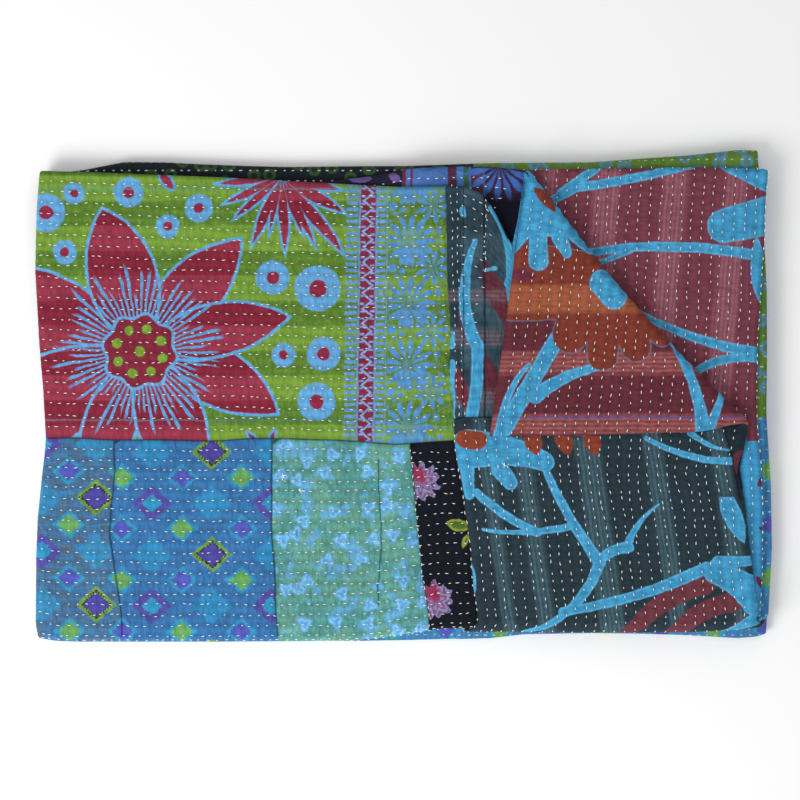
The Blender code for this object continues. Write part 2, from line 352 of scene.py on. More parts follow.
columns = gridLines(
    (
        lineShares(*throw["under"]),
        evenly(throw["sideSteps"]),
        lineShares(*throw["main"]),
        evenly(throw["sideSteps"]),
        lineShares(*throw["flap"]),
    )
)
rows = gridLines(
    (
        evenly(throw["lowerRows"]),
        evenly(throw["endSteps"]),
        evenly(throw["lowerRows"]),
        evenly(throw["endSteps"]),
        evenly(throw["topRows"]),
    )
)
columnOf, rowOf = np.meshgrid(columns, rows)
topStart = len(rows) - 1 - throw["topRows"]
rowNumber = np.arange(len(rows))[:, None] - topStart + np.zeros((1, len(columns)), int)
columnNumber = np.arange(len(columns))[None, :] + np.zeros((len(rows), 1), int)
flapStart = int(np.searchsorted(columns, 4.0))
mainStart = int(np.searchsorted(columns, 2.0))
flatX, _, _ = across(columnOf, rowOf, 0)
flatY, _, _ = along(columnOf, rowOf, flatX, 0 * flatX + 0.004)
onTop = rowOf >= 4
onMain = (columnOf >= 2) & (columnOf <= 3)
onFlap = columnOf >= 4
onUnder = columnOf <= 1
beyondFold = (flatX - foldStart[0]) * foldOut[0] + (flatY - foldStart[1]) * foldOut[1]
# Where each point of the flap would come to lie once it is turned over the fold
mirroredX = flatX - 2 * beyondFold * foldOut[0]
mirroredY = flatY - 2 * beyondFold * foldOut[1]


def nearest(values, value):
    return int(np.argmin(np.abs(np.asarray(values) - value)))


# The row of the grid that each seam follows, and the column of each seam between patches
middleColumn = nearest(flatX[-20, mainStart:mainStart + 100], -0.1) + mainStart
panelRow = nearest(flatY[topStart:, middleColumn], -0.038) + topStart
flapRow = nearest(flatY[topStart:, flapStart + 40], -0.0175) + topStart
patchRow = flatX[panelRow - 20, mainStart:mainStart + 112]
patchColumns = [mainStart + nearest(patchRow, row[0]) for row in patchSeams]


def shifts():
    # How far each line of the top layer wanders, so that seams and stitched rows aren't ruled.
    dx = np.zeros_like(flatX)
    dy = np.zeros_like(flatX)
    for column, row in zip(patchColumns, patchSeams):
        seamX = np.interp(flatY, patchPlaces, row[1:])
        pull = seamX - flatX[:, column:column + 1]
        near = smooth(1 - np.abs(flatX - flatX[:, column:column + 1]) / throw["patchReach"])
        fade = smooth((0.010 - flatY) / 0.040)
        dx += pull * near * fade * np.clip(rowOf - 3, 0, 1) * onMain
    seamY = read(panelSeam, 1, flatX)
    pull = seamY - flatY[panelRow:panelRow + 1, :]
    dy += pull * smooth(1 - np.abs(flatY - seamY) / throw["panelReach"]) * (onTop & onMain)
    seamY = read(flapSeam, 1, flatX)
    pull = seamY - flatY[flapRow:flapRow + 1, :]
    dy += pull * smooth(1 - np.abs(flatY - seamY) / throw["flapReach"]) * (onTop & onFlap)
    hold = smooth((rowOf - 4) / 0.03) * smooth((5 - rowOf) / 0.03) * onTop
    hold = hold * np.where(onUnder, 1.0, smooth((columnOf - 2) / 0.02))
    amount = throw["wobble"] * hold
    part = np.floor(columnOf)
    dy += amount * wander(flatX, flatY * 3 + part, 0.055, 2)
    dx += amount * wander(flatX * 3 + part, flatY, 0.055, 3)
    return dx, dy


def puffs(face):
    # How far one face of the cloth stands out. Every second line of the grid is a row of
    # stitches, with a ridge between. Each fade is a distance over its own width.
    quarter = onFlap & (rowOf < rows[flapRow])
    ridge = np.where(quarter, (columnNumber - flapStart) % 2, rowNumber % 2)
    ridge = np.where(onUnder, columnNumber % 2, ridge)
    hem = read(sides, 4, flatY)
    if face > 0:
        seen = onMain * smooth((hem - 0.004 - flatX) / 0.008)
    else:
        seen = onFlap * smooth(1 - beyondFold / 0.004) + onMain * smooth(beyondFold / 0.006)
        bared = smooth((flatX - read(sides, 2, flatY)) / 0.004)
        seen = seen + onUnder * np.maximum(smooth(beyondFold / 0.012), bared)
    seen = seen * onTop
    least, varied = throw["puffUneven"]
    uneven = least + varied * wander(flatX, flatY, 0.024, 4 + face)
    covered = smooth((0.315 - mirroredX) / 0.006) * smooth((0.200 - mirroredY) / 0.006)
    seen = seen * np.where(onFlap & (beyondFold < 0), 1 - covered, 1)
    size = throw["puffHidden"] + (throw["puffSeen"] - throw["puffHidden"]) * np.clip(seen, 0, 1)
    puff = size * ridge * uneven * onTop
    ridge = np.where(onTop, ridge, 1.0)
    seam = np.zeros_like(puff)
    seam[panelRow, :] += onMain[panelRow]
    seam[flapRow, :] += onFlap[flapRow]
    for column in patchColumns:
        seam[topStart:panelRow, column] += 1
    return puff - throw["seamDepth"] * seam * np.clip(seen, 0, 1), ridge, seam


looks = []


def look(name):
    if name not in looks:
        looks.append(name)
    return looks.index(name)


def faceLook(face):
    # The name of the cloth on each cell of the grid, for one of its faces.
    x = (flatX[:-1, :-1] + flatX[1:, 1:]) / 2
    y = (flatY[:-1, :-1] + flatY[1:, 1:]) / 2
    u = (rowOf[:-1, :-1] + rowOf[1:, 1:]) / 2
    v = (columnOf[:-1, :-1] + columnOf[1:, 1:]) / 2
    names = np.full(x.shape, look("indigo"), int)
    if face > 0:
        names[(u < 1.5) & (v > 1.5)] = look("diamonds")
        names[(u < 1.5) & (v < 1.5)] = look("green")
        names[(u > 1.5) & (u < 3)] = look("green")
        names[(u > 0.9) & (u < 2.1) & (x < cuts["blackEnd"])] = look("black")
        names[(u > 1.5) & (u < 3) & (v < 1) & (y < cuts["under"])] = look("diamonds")
        top = (u >= 3) & (v > 1.5)
        names[top] = look("panel")
        below = top & (u < rows[panelRow])
        names[below] = look("lozenges")
        for column, name in zip(patchColumns, ("ikat", "blossom", "dark")):
            names[below & (v > columns[column])] = look(name)
        names[top & (x > cuts["panelEnd"])] = look("indigo")
    else:
        names[(u < 1.5)] = look("diamonds")
        names[(u > 1.5) & (u < 3) & (v > 1.5)] = look("diamonds")
        top = (u >= 3) & (v > 3.5)
        names[top] = look("branches")
        names[top & (u > rows[flapRow])] = look("strip")
        names[top & (x > cuts["rustFrom"]) & (y > cuts["rustBack"])] = look("rust")
        names[(u >= 3) & (v > 1.5) & (v <= 3.5)] = look("rust")
        names[(u >= 3) & (v > 2.9) & (y < cuts["flap"])] = look("branches")
        bottom = (u >= 3) & (v <= 1.5)
        names[bottom] = look("maroon")
        names[bottom & (x < cuts["rayEnd"])] = look("rays")
        names[bottom & (y < cuts["flap"])] = look("sky")
    return names


shiftX, shiftY = shifts()
cloth = bmesh.new()
puffLayer = cloth.verts.layers.float.new("puff")
uLayer = cloth.verts.layers.float.new("flatX")
vLayer = cloth.verts.layers.float.new("flatY")
ridgeLayer = cloth.verts.layers.float.new("ridge")
seamLayer = cloth.verts.layers.float.new("seam")
leafLayer = cloth.faces.layers.int.new("leaf")
vertsOf = {}
for face in (1, -1):
    x, height, ownX = across(columnOf, rowOf, face)
    y, z, ownY = along(columnOf, rowOf, x, height)
    x = x + shiftX
    y = y + shiftY
    made = []
    raised, ridges, seams = puffs(face)
    fields = (x, y, z, raised, ownX + shiftX, ownY + shiftY, ridges, seams)
    for px, py, pz, puff, fx, fy, ridge, seam in zip(*(field.flat for field in fields)):
        vert = cloth.verts.new((px, py, pz))
        vert[puffLayer] = puff
        vert[uLayer] = fx
        vert[vLayer] = fy
        vert[ridgeLayer] = ridge
        vert[seamLayer] = min(seam, 1.0)
        made.append(vert)
    vertsOf[face] = made
wide = len(columns)
tall = len(rows)


def vertAt(face, row, column):
    return vertsOf[face][row * wide + column]


def addFace(corners, row, column, name):
    made = cloth.faces.new(corners)
    made[leafLayer] = int(rows[row] >= 4 and columns[column] >= 2)
    made.material_index = int(name)
    made.smooth = True


namesOf = {face: faceLook(face) for face in (1, -1)}
for row in range(tall - 1):
    for column in range(wide - 1):
        ring = ((row, column), (row, column + 1), (row + 1, column + 1), (row + 1, column))
        addFace([vertAt(1, *place) for place in ring], row, column, namesOf[1][row, column])
        back = [vertAt(-1, *place) for place in reversed(ring)]
        addFace(back, row, column, namesOf[-1][row, column])
for row in range(tall - 1):
    for column in (0, wide - 1):
        pair = (vertAt(1, row, column), vertAt(1, row + 1, column))
        name = namesOf[-1][row, min(column, wide - 2)]
        addFace([*pair, vertAt(-1, row + 1, column), vertAt(-1, row, column)], row, column, name)
for column in range(wide - 1):
    for row in (0, tall - 1):
        pair = (vertAt(1, row, column), vertAt(1, row, column + 1))
        name = namesOf[1][min(row, tall - 2), column]
        if columns[column] >= 2 and row and flatX[row, column] > cuts["hemFrom"]:
            name = look("rust")
        addFace([*pair, vertAt(-1, row, column + 1), vertAt(-1, row, column)], row, column, name)
print("grid", len(cloth.verts), "points", len(cloth.faces), "faces")

# The cloth is cut along the lines that the diagonal fold bends on.
for step in range(throw["cornerSteps"] + 1):
    place = foldStart + foldOut * (math.pi * turnRadius * step / throw["cornerSteps"])
    near = []
    for made in cloth.faces:
        if made[leafLayer]:
            ways = [
                (v.co.x - place[0]) * foldOut[0] + (v.co.y - place[1]) * foldOut[1]
                for v in made.verts
            ]
            if min(ways) < 0 < max(ways):
                near.append(made)
    edges = list({e for f in near for e in f.edges})
    points = list({v for f in near for v in f.verts})
    bmesh.ops.bisect_plane(
        cloth,
        geom=points + edges + near,
        dist=0.00005,
        plane_co=(place[0], place[1], 0.0),
        plane_no=(foldOut[0], foldOut[1], 0.0),
    )
cloth.verts.index_update()
leafVerts = list({v for f in cloth.faces if f[leafLayer] for v in f.verts})
spots = np.array([v.co for v in leafVerts])
distance = (spots[:, :2] - foldStart) @ foldOut
over = (spots[:, 0] > 0) & (distance > 0)
spots[over] = turned(spots[over], distance[over])
share = np.clip(((spots[:, :2] - foldStart) @ foldRun) / foldLength, 0.0, 1.0)
near = np.exp(-((((spots[:, :2] - foldStart) @ foldOut) / throw["bowWidth"]) ** 2))
spots[:, :2] -= (throw["bow"] * np.sin(math.pi * share) * near)[:, None] * foldOut
for vert, spot, moved in zip(leafVerts, spots, over):
    vert.co = spot
    if moved:
        vert[uLayer] = spot[0]
        vert[vLayer] = spot[1]
print("corner turned")

# Creases, the place on the floor, and the puffs between the rows of stitches
points = np.array([v.co for v in cloth.verts])
points[:, 2] *= 1.0 + relief(points[:, 0], points[:, 1])
low = points.min(axis=0)
high = points.max(axis=0)
middleOf = (np.array(before[0]) + np.array(before[1])) / 2
move = middleOf - (low + high) / 2
move[2] = -low[2]
for vert, point in zip(cloth.verts, points + move):
    vert.co = point
bmesh.ops.recalc_face_normals(cloth, faces=cloth.faces)
cloth.normal_update()
for vert in cloth.verts:
    vert.co += vert.normal * vert[puffLayer]
cloth.normal_update()
uvLayer = cloth.loops.layers.uv.new("Flat")
for made in cloth.faces:
    for loop in made.loops:
        loop[uvLayer].uv = (loop.vert[uLayer], loop.vert[vLayer])
clothMesh = bpy.data.meshes.new("patchwork")
cloth.to_mesh(clothMesh)


def linear(code):
    # An sRGB hex colour as the linear colour that a shader takes.
    parts = [int(code[i:i + 2], 16) / 255 for i in (1, 3, 5)]
    lit = [p / 12.92 if p <= 0.04045 else ((p + 0.055) / 1.055) ** 2.4 for p in parts]
    return (*lit, 1.0)


# Short names of the nodes that come often: kind, inputs in order, output, settings
shortNames = {
    "mix": ("ShaderNodeMix", (0, 6, 7), 2, {"data_type": "RGBA"}),
    "noise": ("ShaderNodeTexNoise", ("Vector", "Scale", "Detail"), 0, {}),
    "split": ("ShaderNodeSeparateXYZ", (0,), (0, 1), {}),
    "bump": ("ShaderNodeBump", ("Strength", "Distance", "Height"), 0, {}),
    "chance": ("FunctionNodeRandomValue", (2, 3, "Seed"), 1, {"data_type": "FLOAT"}),
    "align": ("FunctionNodeAlignRotationToVector", ("Vector", "Rotation"), 0, {}),
}


def add(tree, kind, *values, out=None, slots=None, **settings):
    # One node with its settings and links, and its output. A kind in capitals is an operation
    # of Math, or of Vector Math after "v.", and a hex colour is turned linear.
    kind, inlets, outlet, fixed = shortNames.get(kind, (kind, range(len(values)), 0, {}))
    settings.update(fixed)
    if kind.isupper():
        settings["operation"], kind = kind, "ShaderNodeMath"
    elif kind.startswith("v."):
        settings["operation"], kind = kind[2:], "ShaderNodeVectorMath"
    node = tree.nodes.new(kind)
    for key, value in settings.items():
        setattr(node, key, value)
    for inlet, value in zip(slots or inlets, values):
        if isinstance(value, Wire):
            tree.links.new(value.socket, node.inputs[inlet])
        else:
            hexCode = isinstance(value, str) and value.startswith("#")
            node.inputs[inlet].default_value = linear(value) if hexCode else value
    outlet = outlet if out is None else out
    if isinstance(outlet, tuple):
        return [Wire(node.outputs[place]) for place in outlet]
    return Wire(node.outputs[outlet])


class Wire:
    # A node's output that can be reckoned with. Where two of them are distances from shapes,
    # a | b is the distance from either shape, and a & b from what they share.
    def __init__(self, socket):
        self.socket = socket
        self.tree = socket.id_data

    def __add__(self, other):
        return add(self.tree, "ADD", self, other)

    def __sub__(self, other):
        return add(self.tree, "SUBTRACT", self, other)

    def __mul__(self, other):
        return add(self.tree, "MULTIPLY", self, other)

    def __abs__(self):
        return add(self.tree, "ABSOLUTE", self)

    def __or__(self, other):
        return add(self.tree, "MINIMUM", self, other)

    def __and__(self, other):
        return add(self.tree, "MAXIMUM", self, other)


# The prints are charted in steps of 0.857 mm, x to the right and y towards the front.
chart = {"step": 0.000857, "x": 404.0, "y": 395.75}

# What all the cottons share. Shades are shares of the light that is lost.
# The thread and dye shades are the cloth's own tones; the pucker, valley and seam shades are
# painted shade.
cotton = {
    "roughness": 0.88,
    "specular": 0.14,
    "sheen": 0.03,
    # Real threads lie 0.4 mm apart, too fine to show, so the weave is drawn coarser.
    "threadPitch": 0.001114,
    "threadShade": 0.10,
    # The cloth gathers into puckers about 4 mm wide and 10 mm long between its stitches.
    "puckerRates": (0.21, 0.080),
    "puckerDepth": 0.0030,
    # Painted light and shade of the puckers
    "puckerShade": 0.72,
    "dyeShade": 0.24,
    # Painted shade in the stitched valleys, and painted shadow along the seams
    "valleyShade": 0.24,
    "seamShade": 0.55,
    # Spacing of the fine lines in the groups of paler woven stripes
    "linePitch": 0.003771,
    # The painted stitches of the far plies, in metres
    "rowPitch": 0.008913,
    "stitchPitch": 0.00737,
}


class Print:
    # One printed cotton: its tree, the chart's coordinates and the marks painted so far.
    def __init__(self, name, ground, wobble=1.3, turned=False):
        self.material = bpy.data.materials.new(name)
        self.material.use_nodes = True
        self.tree = self.material.node_tree
        self.turned = turned
        self.color = ground
        rate = 1 / chart["step"]
        flat = self.add("ShaderNodeUVMap", uv_map="Flat")
        origin = (chart["x"], chart["y"], 0)
        self.chart = self.add("v.MULTIPLY_ADD", flat, (rate, -rate, 0), origin)
        self.place = self.chart
        for scale, size in ((0.05, 2.0 * wobble), (0.33, 1.5)):
            drift = self.add("noise", self.chart, scale, out=1)
            drift = self.add("v.SUBTRACT", drift, (0.5, 0.5, 0.5))
            self.place = self.add("v.MULTIPLY_ADD", drift, (size, size, 0), self.place)
        self.x, self.y = self.add("split", self.place)

    def add(self, kind, *values, **settings):
        return add(self.tree, kind, *values, **settings)

    def stretched(self, across, along, detail=2.0):
        # An uneven field with so many humps to a step across and along the cloth.
        place = self.add("v.MULTIPLY", self.chart, (across, along, 0))
        return self.add("noise", place, 1.0, detail)

    def polar(self, x, y):
        # The angle and the distance from a point.
        away = self.add("v.SUBTRACT", self.place, (x, y, 0))
        across, along = self.add("split", away)
        return self.add("ARCTAN2", along, across), self.add("v.LENGTH", away, out=1)

    def disc(self, x, y, radius):
        return self.add("v.DISTANCE", self.place, (x, y, 0), out=1) - radius

    def union(self, shapes):
        total = shapes[0]
        for shape in shapes[1:]:
            total = total | shape
        return total

    def stroke(self, x0, y0, x1, y1, bow, start, end):
        # Distance from a brushed stroke between two points, with its half width at each end.
        chord = math.hypot(x1 - x0, y1 - y0)
        way = ((x1 - x0) / chord, (y1 - y0) / chord)
        rel = self.add("v.SUBTRACT", self.place, (x0, y0, 0))
        run = self.add("v.DOT_PRODUCT", rel, (*way, 0), out=1)
        held = self.add("MINIMUM", self.add("MAXIMUM", run, 0.0), chord)
        side = self.add("v.DOT_PRODUCT", rel, (-way[1], way[0], 0), out=1)
        over = abs(run - held)
        bow = bow or 0.2
        radius = (chord * chord / 4 + bow * bow) / (2 * abs(bow))
        back = bow - math.copysign(radius, bow)
        middleX = (x0 + x1) / 2 - way[1] * back
        middleY = (y0 + y1) / 2 + way[0] * back
        away = abs(self.disc(middleX, middleY, radius))
        away = away & (abs(side - bow / 2) - abs(bow) / 2)
        away = self.add("SQRT", away * away + over * over)
        return away - (held * ((end - start) / chord) + start)

    def strokes(self, rows):
        return self.union([self.stroke(*row) for row in rows])

    def petal(self, x0, y0, x1, y1, left, right):
        # Distance from a pointed petal between two points that bulges by so much on either side.
        length = math.hypot(x1 - x0, y1 - y0)
        parts = []
        for bulge, sign in ((left, 1), (right, -1)):
            radius = (length * length / 4 + bulge * bulge) / (2 * bulge)
            back = (bulge - radius) * sign / length
            middleX = (x0 + x1) / 2 - (y1 - y0) * back
            middleY = (y0 + y1) / 2 + (x1 - x0) * back
            parts.append(self.disc(middleX, middleY, radius))
        return parts[0] & parts[1]

    def star(self, x, y, count, reach, half):
        # Distance from leaves around a point, each broadest near its tip.
        angle, away = self.polar(x, y)
        share = self.add("MINIMUM", away, reach) * (1 / reach)
        taper = self.add("SINE", share * share * math.pi) * half
        return self.add("PINGPONG", angle, math.pi / count) * away - taper

    def bars(self, value, *rows):
        # Distance from straight bars, each at a place and with a half width.
        return self.union([abs(value - at) - half for at, half in rows])

    def inside(self, distance, soft=1.1):
        return self.add("MULTIPLY_ADD", distance, -1 / soft, 0.5, use_clamp=True)

    def above(self, value, at, soft=0.1):
        return self.add("MULTIPLY_ADD", value, 1 / soft, 0.5 - at / soft, use_clamp=True)

    def wave(self, value, pitch, turn=0.0):
        return self.add("SINE", value * (2 * math.pi / pitch) + turn) * 0.5 + 0.5

    def paint(self, mask, color, amount=1.0):
        self.color = self.add("mix", mask if amount == 1.0 else mask * amount, self.color, color)

    def fill(self, distance, color, amount=1.0, soft=1.1):
        self.paint(self.inside(distance, soft), color, amount)

    def brush(self, distance):
        # A brushed blue mark: streaky inside, paler along its edge.
        streak = self.above(self.add("noise", self.chart, 0.09, 3), 0.52, 0.25)
        self.paint(self.inside(distance), self.add("mix", streak, "#47a2cf", "#3a90be"))
        self.fill(abs(distance + 1.0) - 0.6, "#62b2dc", 0.75, 1.4)

    def woven(self, value, color, amount, *rows):
        # Groups of paler woven stripes, fine lines over a soft band.
        groups = self.inside(self.bars(value, *rows), 6.0)
        fine = self.wave(value, cotton["linePitch"] / chart["step"])
        fine = self.above(fine, 0.5, 0.7)
        self.paint(groups * (fine * 0.55 + 0.45), color, amount)

    def finish(self, worn=0.15, plain=False):
        # Wear, the weave, painted shade in the stitched valleys and along the seams, and the
        # puckers of the sewing.
        x, y = self.add("split", self.chart)
        step = chart["step"]
        pitch = cotton["threadPitch"] / step
        weave = self.wave(x, pitch) * self.wave(y, pitch)
        light = self.add("noise", self.chart, 0.025, 4) * (2 * worn) + (1 - worn)
        dye = self.add("noise", self.chart, 0.8) * cotton["dyeShade"]
        light = light * (dye + (1 - cotton["dyeShade"] / 2))
        light = light * (weave * cotton["threadShade"] + (1 - cotton["threadShade"] / 3))
        ridge = self.add("ShaderNodeAttribute", out=2, attribute_name="ridge")
        seam = self.add("ShaderNodeAttribute", out=2, attribute_name="seam")
        # Painted shade: darker in the stitched valleys between the puffs.
        light = light * (ridge * cotton["valleyShade"] + (1 - cotton["valleyShade"] * 0.62))
        # Painted shadow along the seams: a crisp dark line and a soft fringe.
        crease = self.above(seam, 0.86, 0.12) * -cotton["seamShade"] + seam * seam * -0.14
        light = light * (crease + 1)
        rates = cotton["puckerRates"]
        folds = self.stretched(*(rates[::-1] if self.turned else rates), 3)
        # Painted light and shade of the puckers; the same field also bumps the normals below.
        light = light * (folds * cotton["puckerShade"] + (1 - cotton["puckerShade"] / 2))
        tint = self.add("ShaderNodeCombineColor", light, light, light)
        self.color = self.add("mix", 1.0, self.color, tint, blend_type="MULTIPLY")
        if plain:
            # The far plies have their stitches in the print.
            rowPitch = cotton["rowPitch"] / step
            row = self.add("FLOOR", y * (1 / rowPitch))
            drift = self.add("noise", self.chart, 0.11) * 9.0
            dash = self.wave(x + row * 3.7 + drift, cotton["stitchPitch"] / step)
            line = self.above(self.wave(y, rowPitch), 0.972, 0.02)
            self.paint(self.above(dash, 0.84, 0.1) * line, "#bcc4c4")
        shader = self.tree.nodes["Principled BSDF"]
        bump = self.add("bump", 0.8, cotton["puckerDepth"], folds + weave * 0.04)
        self.tree.links.new(self.color.socket, shader.inputs["Base Color"])
        self.tree.links.new(bump.socket, shader.inputs["Normal"])
        shader.inputs["Roughness"].default_value = cotton["roughness"]
        shader.inputs["Specular IOR Level"].default_value = cotton["specular"]
        shader.inputs["Sheen Weight"].default_value = cotton["sheen"]
        return self.material


# Blue discs on the green cloth: x, y, radius
discs = (
    (45, 212, 19),
    (73, 193, 11),
    (128, 192, 15),
    (198, 208, 14),
    (167, 226, 12),
    (64, 252, 12),
    (272, 277, 17),
    (317, 288, 23),
    (283, 355, 12),
    (323, 354, 17),
    (316, 402, 19),
)
# Petals of the great flower from the hindmost: tip's x and y, bulge on either side
petals = (
    (-59, 271, 40, 42),
    (-59, 470, 50, 40),
    (241, 238, 29, 31),
    (278, 414, 22, 38),
    (85, 500, 30, 24),
    (190, 500, 28, 41),
    (290, 316, 24, 30),
    (101, 207, 37, 33),
)
# Petals of the flower cut by the hem: tip's x and y, half width
narrow = (
    (214, 184, 5),
    (221, 205, 5),
    (232, 220, 5),
    (250, 247, 6),
    (268, 236, 4),
    (285, 254, 6),
    (303, 236, 5),
    (316, 248, 5),
    (343, 190, 6),
    (346, 214, 7),
    (346, 256, 7),
)
# Tips of petals whose flowers lie beyond the cloth: both ends, bulge on either side
loosePetals = ((158, 170, 174, 190, 6, 5), (257, 448, 247, 431, 4, 3), (270, 448, 274, 429, 3, 4))
# Sprays of the border's repeat: x, y, number of leaves, reach, half width
upperSprays = ((413, -2, 13, 27, 2.9), (436, 25, 9, 18, 2.6), (436, -37, 9, 18, 2.6))
lowerSprays = ((412, 0, 8, 21, 4.2), (436, 25, 9, 18, 2.6))
# Round spots between them: x, y, radius
spots = (
    (396, 25, 4.4),
    (406, 28, 3.0),
    (410, 20, 2.4),
    (399, -29, 2.2),
    (442, -12, 3.2),
    (447, 8, 2.6),
    (392, -22, 2.0),
)


def panelCloth():
    # Block printing gives flat colours whose edges waver, over a ground dyed in soft bands.
    cloth = Print("block-printed green cotton with a great flower", "#749a38", 1.6)
    band = cloth.above(cloth.wave(cloth.y, 50.0, -0.06), 0.5, 0.12)
    cloth.paint(band, "#567b2b", 0.9)
    cloth.paint(cloth.above(cloth.add("noise", cloth.chart, 0.22), 0.60, 0.08), "#8aab4e", 0.3)
    greatFlower(cloth, band)
    rings = cloth.union([cloth.disc(*row) for row in discs])
    fleck = cloth.add("noise", cloth.chart, 0.5) * 0.5 + 0.65
    cloth.paint(cloth.inside(rings, 1.8) * fleck, "#62a6e0")
    cloth.fill(cloth.union([cloth.disc(x, y, radius * 0.38) for x, y, radius in discs]), "#8e2a44")
    border(cloth)
    cloth.fill(cloth.bars(cloth.y, (188.5, 0.8), (420.0, 0.7)), "#3b8fa0", 0.45)
    return cloth.finish()


def greatFlower(cloth, band):
    # The great flower with its rays and its seeds, then the petals of the others.
    cx, cy = 139, 351
    pale = "#5fa6da"
    angle, away = cloth.polar(cx, cy)
    leaves = [cloth.petal(cx, cy, *row) for row in petals]
    reds = cloth.add("mix", band, "#943549", "#812438")
    for leaf in leaves:
        cloth.fill(leaf - 1.3, pale)
        cloth.fill(leaf + 1.6, reds)
    around = cloth.add("ShaderNodeCombineXYZ", angle * 6.0, away * 0.01)
    reach = cloth.add("noise", around, 1.0, 1) * 130.0 + 5.0
    rays = cloth.inside(away - reach, 8.0) * cloth.above(cloth.wave(angle, 0.098), 0.60, 0.25)
    cloth.paint(rays * cloth.inside(cloth.union(leaves) + 0.5), "#5b9fd6")
    cut = cloth.union([cloth.petal(281, 176, x, y, half, half) for x, y, half in narrow])
    cut = cut | cloth.union([cloth.petal(*row) for row in loosePetals])
    cloth.fill(cut - 1.0, pale)
    cloth.fill(cut + 1.3, reds)
    edge = away - cloth.add("SINE", angle * 8.0) * 2.4
    cloth.fill(edge - 37.5, pale)
    cloth.fill(edge - 34.5, "#83253a")
    turns = [math.pi * (k + 0.4) / 4 for k in range(8)]
    seeds = [cloth.disc(cx + 24 * math.cos(t), cy + 23 * math.sin(t), 4.8) for t in turns]
    seeds = cloth.union(seeds + [away - 5.2])
    cloth.fill(seeds - 1.0, "#5a3a3c")
    cloth.fill(seeds, "#7d9c34")


def border(cloth):
    # The border's bars, then its small repeat of sprays, every 62 steps along the cloth.
    lean = cloth.x + cloth.y * 0.0145
    blue = "#6496ce"
    light = "#7fa6d8"
    teeth = cloth.above(cloth.wave(cloth.y, 6.1), 0.42, 0.25)
    cloth.paint(cloth.inside(cloth.bars(lean, (355.0, 5.6), (384.2, 4.6))) * teeth, blue)
    cloth.fill(cloth.bars(lean, (371.1, 9.4), (390.2, 0.5)), blue)
    cloth.fill(cloth.bars(lean, (371.1, 7.6)), "#82283f")
    zigzag = cloth.add("PINGPONG", cloth.y, 7.7) * 1.25 - 4.8
    cloth.fill(cloth.bars(lean - zigzag, (371.1, 1.5)), light)
    hooks = abs(cloth.add("WRAP", cloth.y - 3.0, 3.85, -3.85)) - 0.9
    cloth.fill(hooks & cloth.bars(lean, (366.3, 2.0), (376.0, 2.0)), light)
    kept = cloth.place
    cell = cloth.add("WRAP", cloth.y - 243.0, 31.0, -31.0)
    cloth.place = cloth.add("ShaderNodeCombineXYZ", lean, cell)
    upper = cloth.union([cloth.star(*row) for row in upperSprays]) & (cell - 27.0)
    lower = cloth.union([cloth.star(*row) for row in lowerSprays]) & (cell * -1 - 1.0)
    bowl = cloth.union([cloth.disc(*row) for row in spots])
    kinds = cloth.inside(upper | lower | bowl, 1.3)
    cloth.paint(kinds * cloth.above(lean, 392.0, 1.0), "#5590c8")
    cloth.place = kept


def lozengeCloth(name, ground, x0, y0, dx, dy, slubs, first=0, plain=False):
    # Woven-in lozenges step from thread to thread, and thick threads show as dull flecks. The
    # great ones are in turn outlined and plain, and the small ones stand between them.
    cloth = Print(name, ground, 1.0)
    stepped = cloth.add("SNAP", cloth.y, 1.8)
    shaken = cloth.add("ShaderNodeCombineXYZ", cloth.x * 0.01, stepped * 0.9)
    x = cloth.x + cloth.add("noise", shaken, 1.0, 0) * 5.0 - (x0 + 2.5)
    y = stepped - y0
    cloth.paint(cloth.above(cloth.stretched(0.03, 0.30), 0.5, 0.2), "#3a86bc", 0.4)
    cloth.paint(cloth.above(cloth.stretched(0.07, 0.62), 0.50, 0.06), "#57625f", slubs)
    cloth.paint(cloth.above(cloth.stretched(0.8, 0.06, 1), 0.5, 0.2), "#2c5c96", 0.35)
    found = []
    for shift in (0.0, 0.5):
        across = x * (1 / dx) - shift
        along = y * (1 / dy) - shift
        i = cloth.add("ROUND", across)
        j = cloth.add("ROUND", along)
        found.append((abs(across - i) * dx, abs(along - j) * dy * 1.12, i, j))
    ax, ay, i, j = found[1]
    small = ax + ay
    kind = cloth.add("PINGPONG", i + j + first, 1.0)
    cloth.fill(small - 16.0, "#2f93b8", 0.9, 2.0)
    cloth.paint(cloth.inside(small - 11.5, 1.6), cloth.add("mix", kind, "#4f58b2", "#66a05a"))
    ax, ay, i, j = found[0]
    great = ax + ay
    size = 20.5
    flat = cloth.add("PINGPONG", i + j, 1.0)
    lined = flat * -1.0 + 1.0
    odd = cloth.add("PINGPONG", i, 1.0)
    rim = cloth.add("mix", odd, "#6c9640", "#504c9c")
    core = cloth.add("mix", odd, "#4a459a", "#2f8fbc")
    teeth = cloth.wave(ax - ay, 4.4) * 3.5
    cloth.paint(cloth.inside(great - size, 3.0) * flat, "#2e8fc0", 0.65)
    cloth.paint(cloth.inside(great - size, 1.6) * lined, rim)
    dark = cloth.inside(great + teeth - 17.5, 1.2) * lined
    cloth.paint(dark * (odd * -1.0 + 1.0), "#33302e")
    cloth.paint(cloth.inside(great - 13.5 + odd * 3.0, 1.6) * lined, core)
    return cloth.finish(0.20, plain)


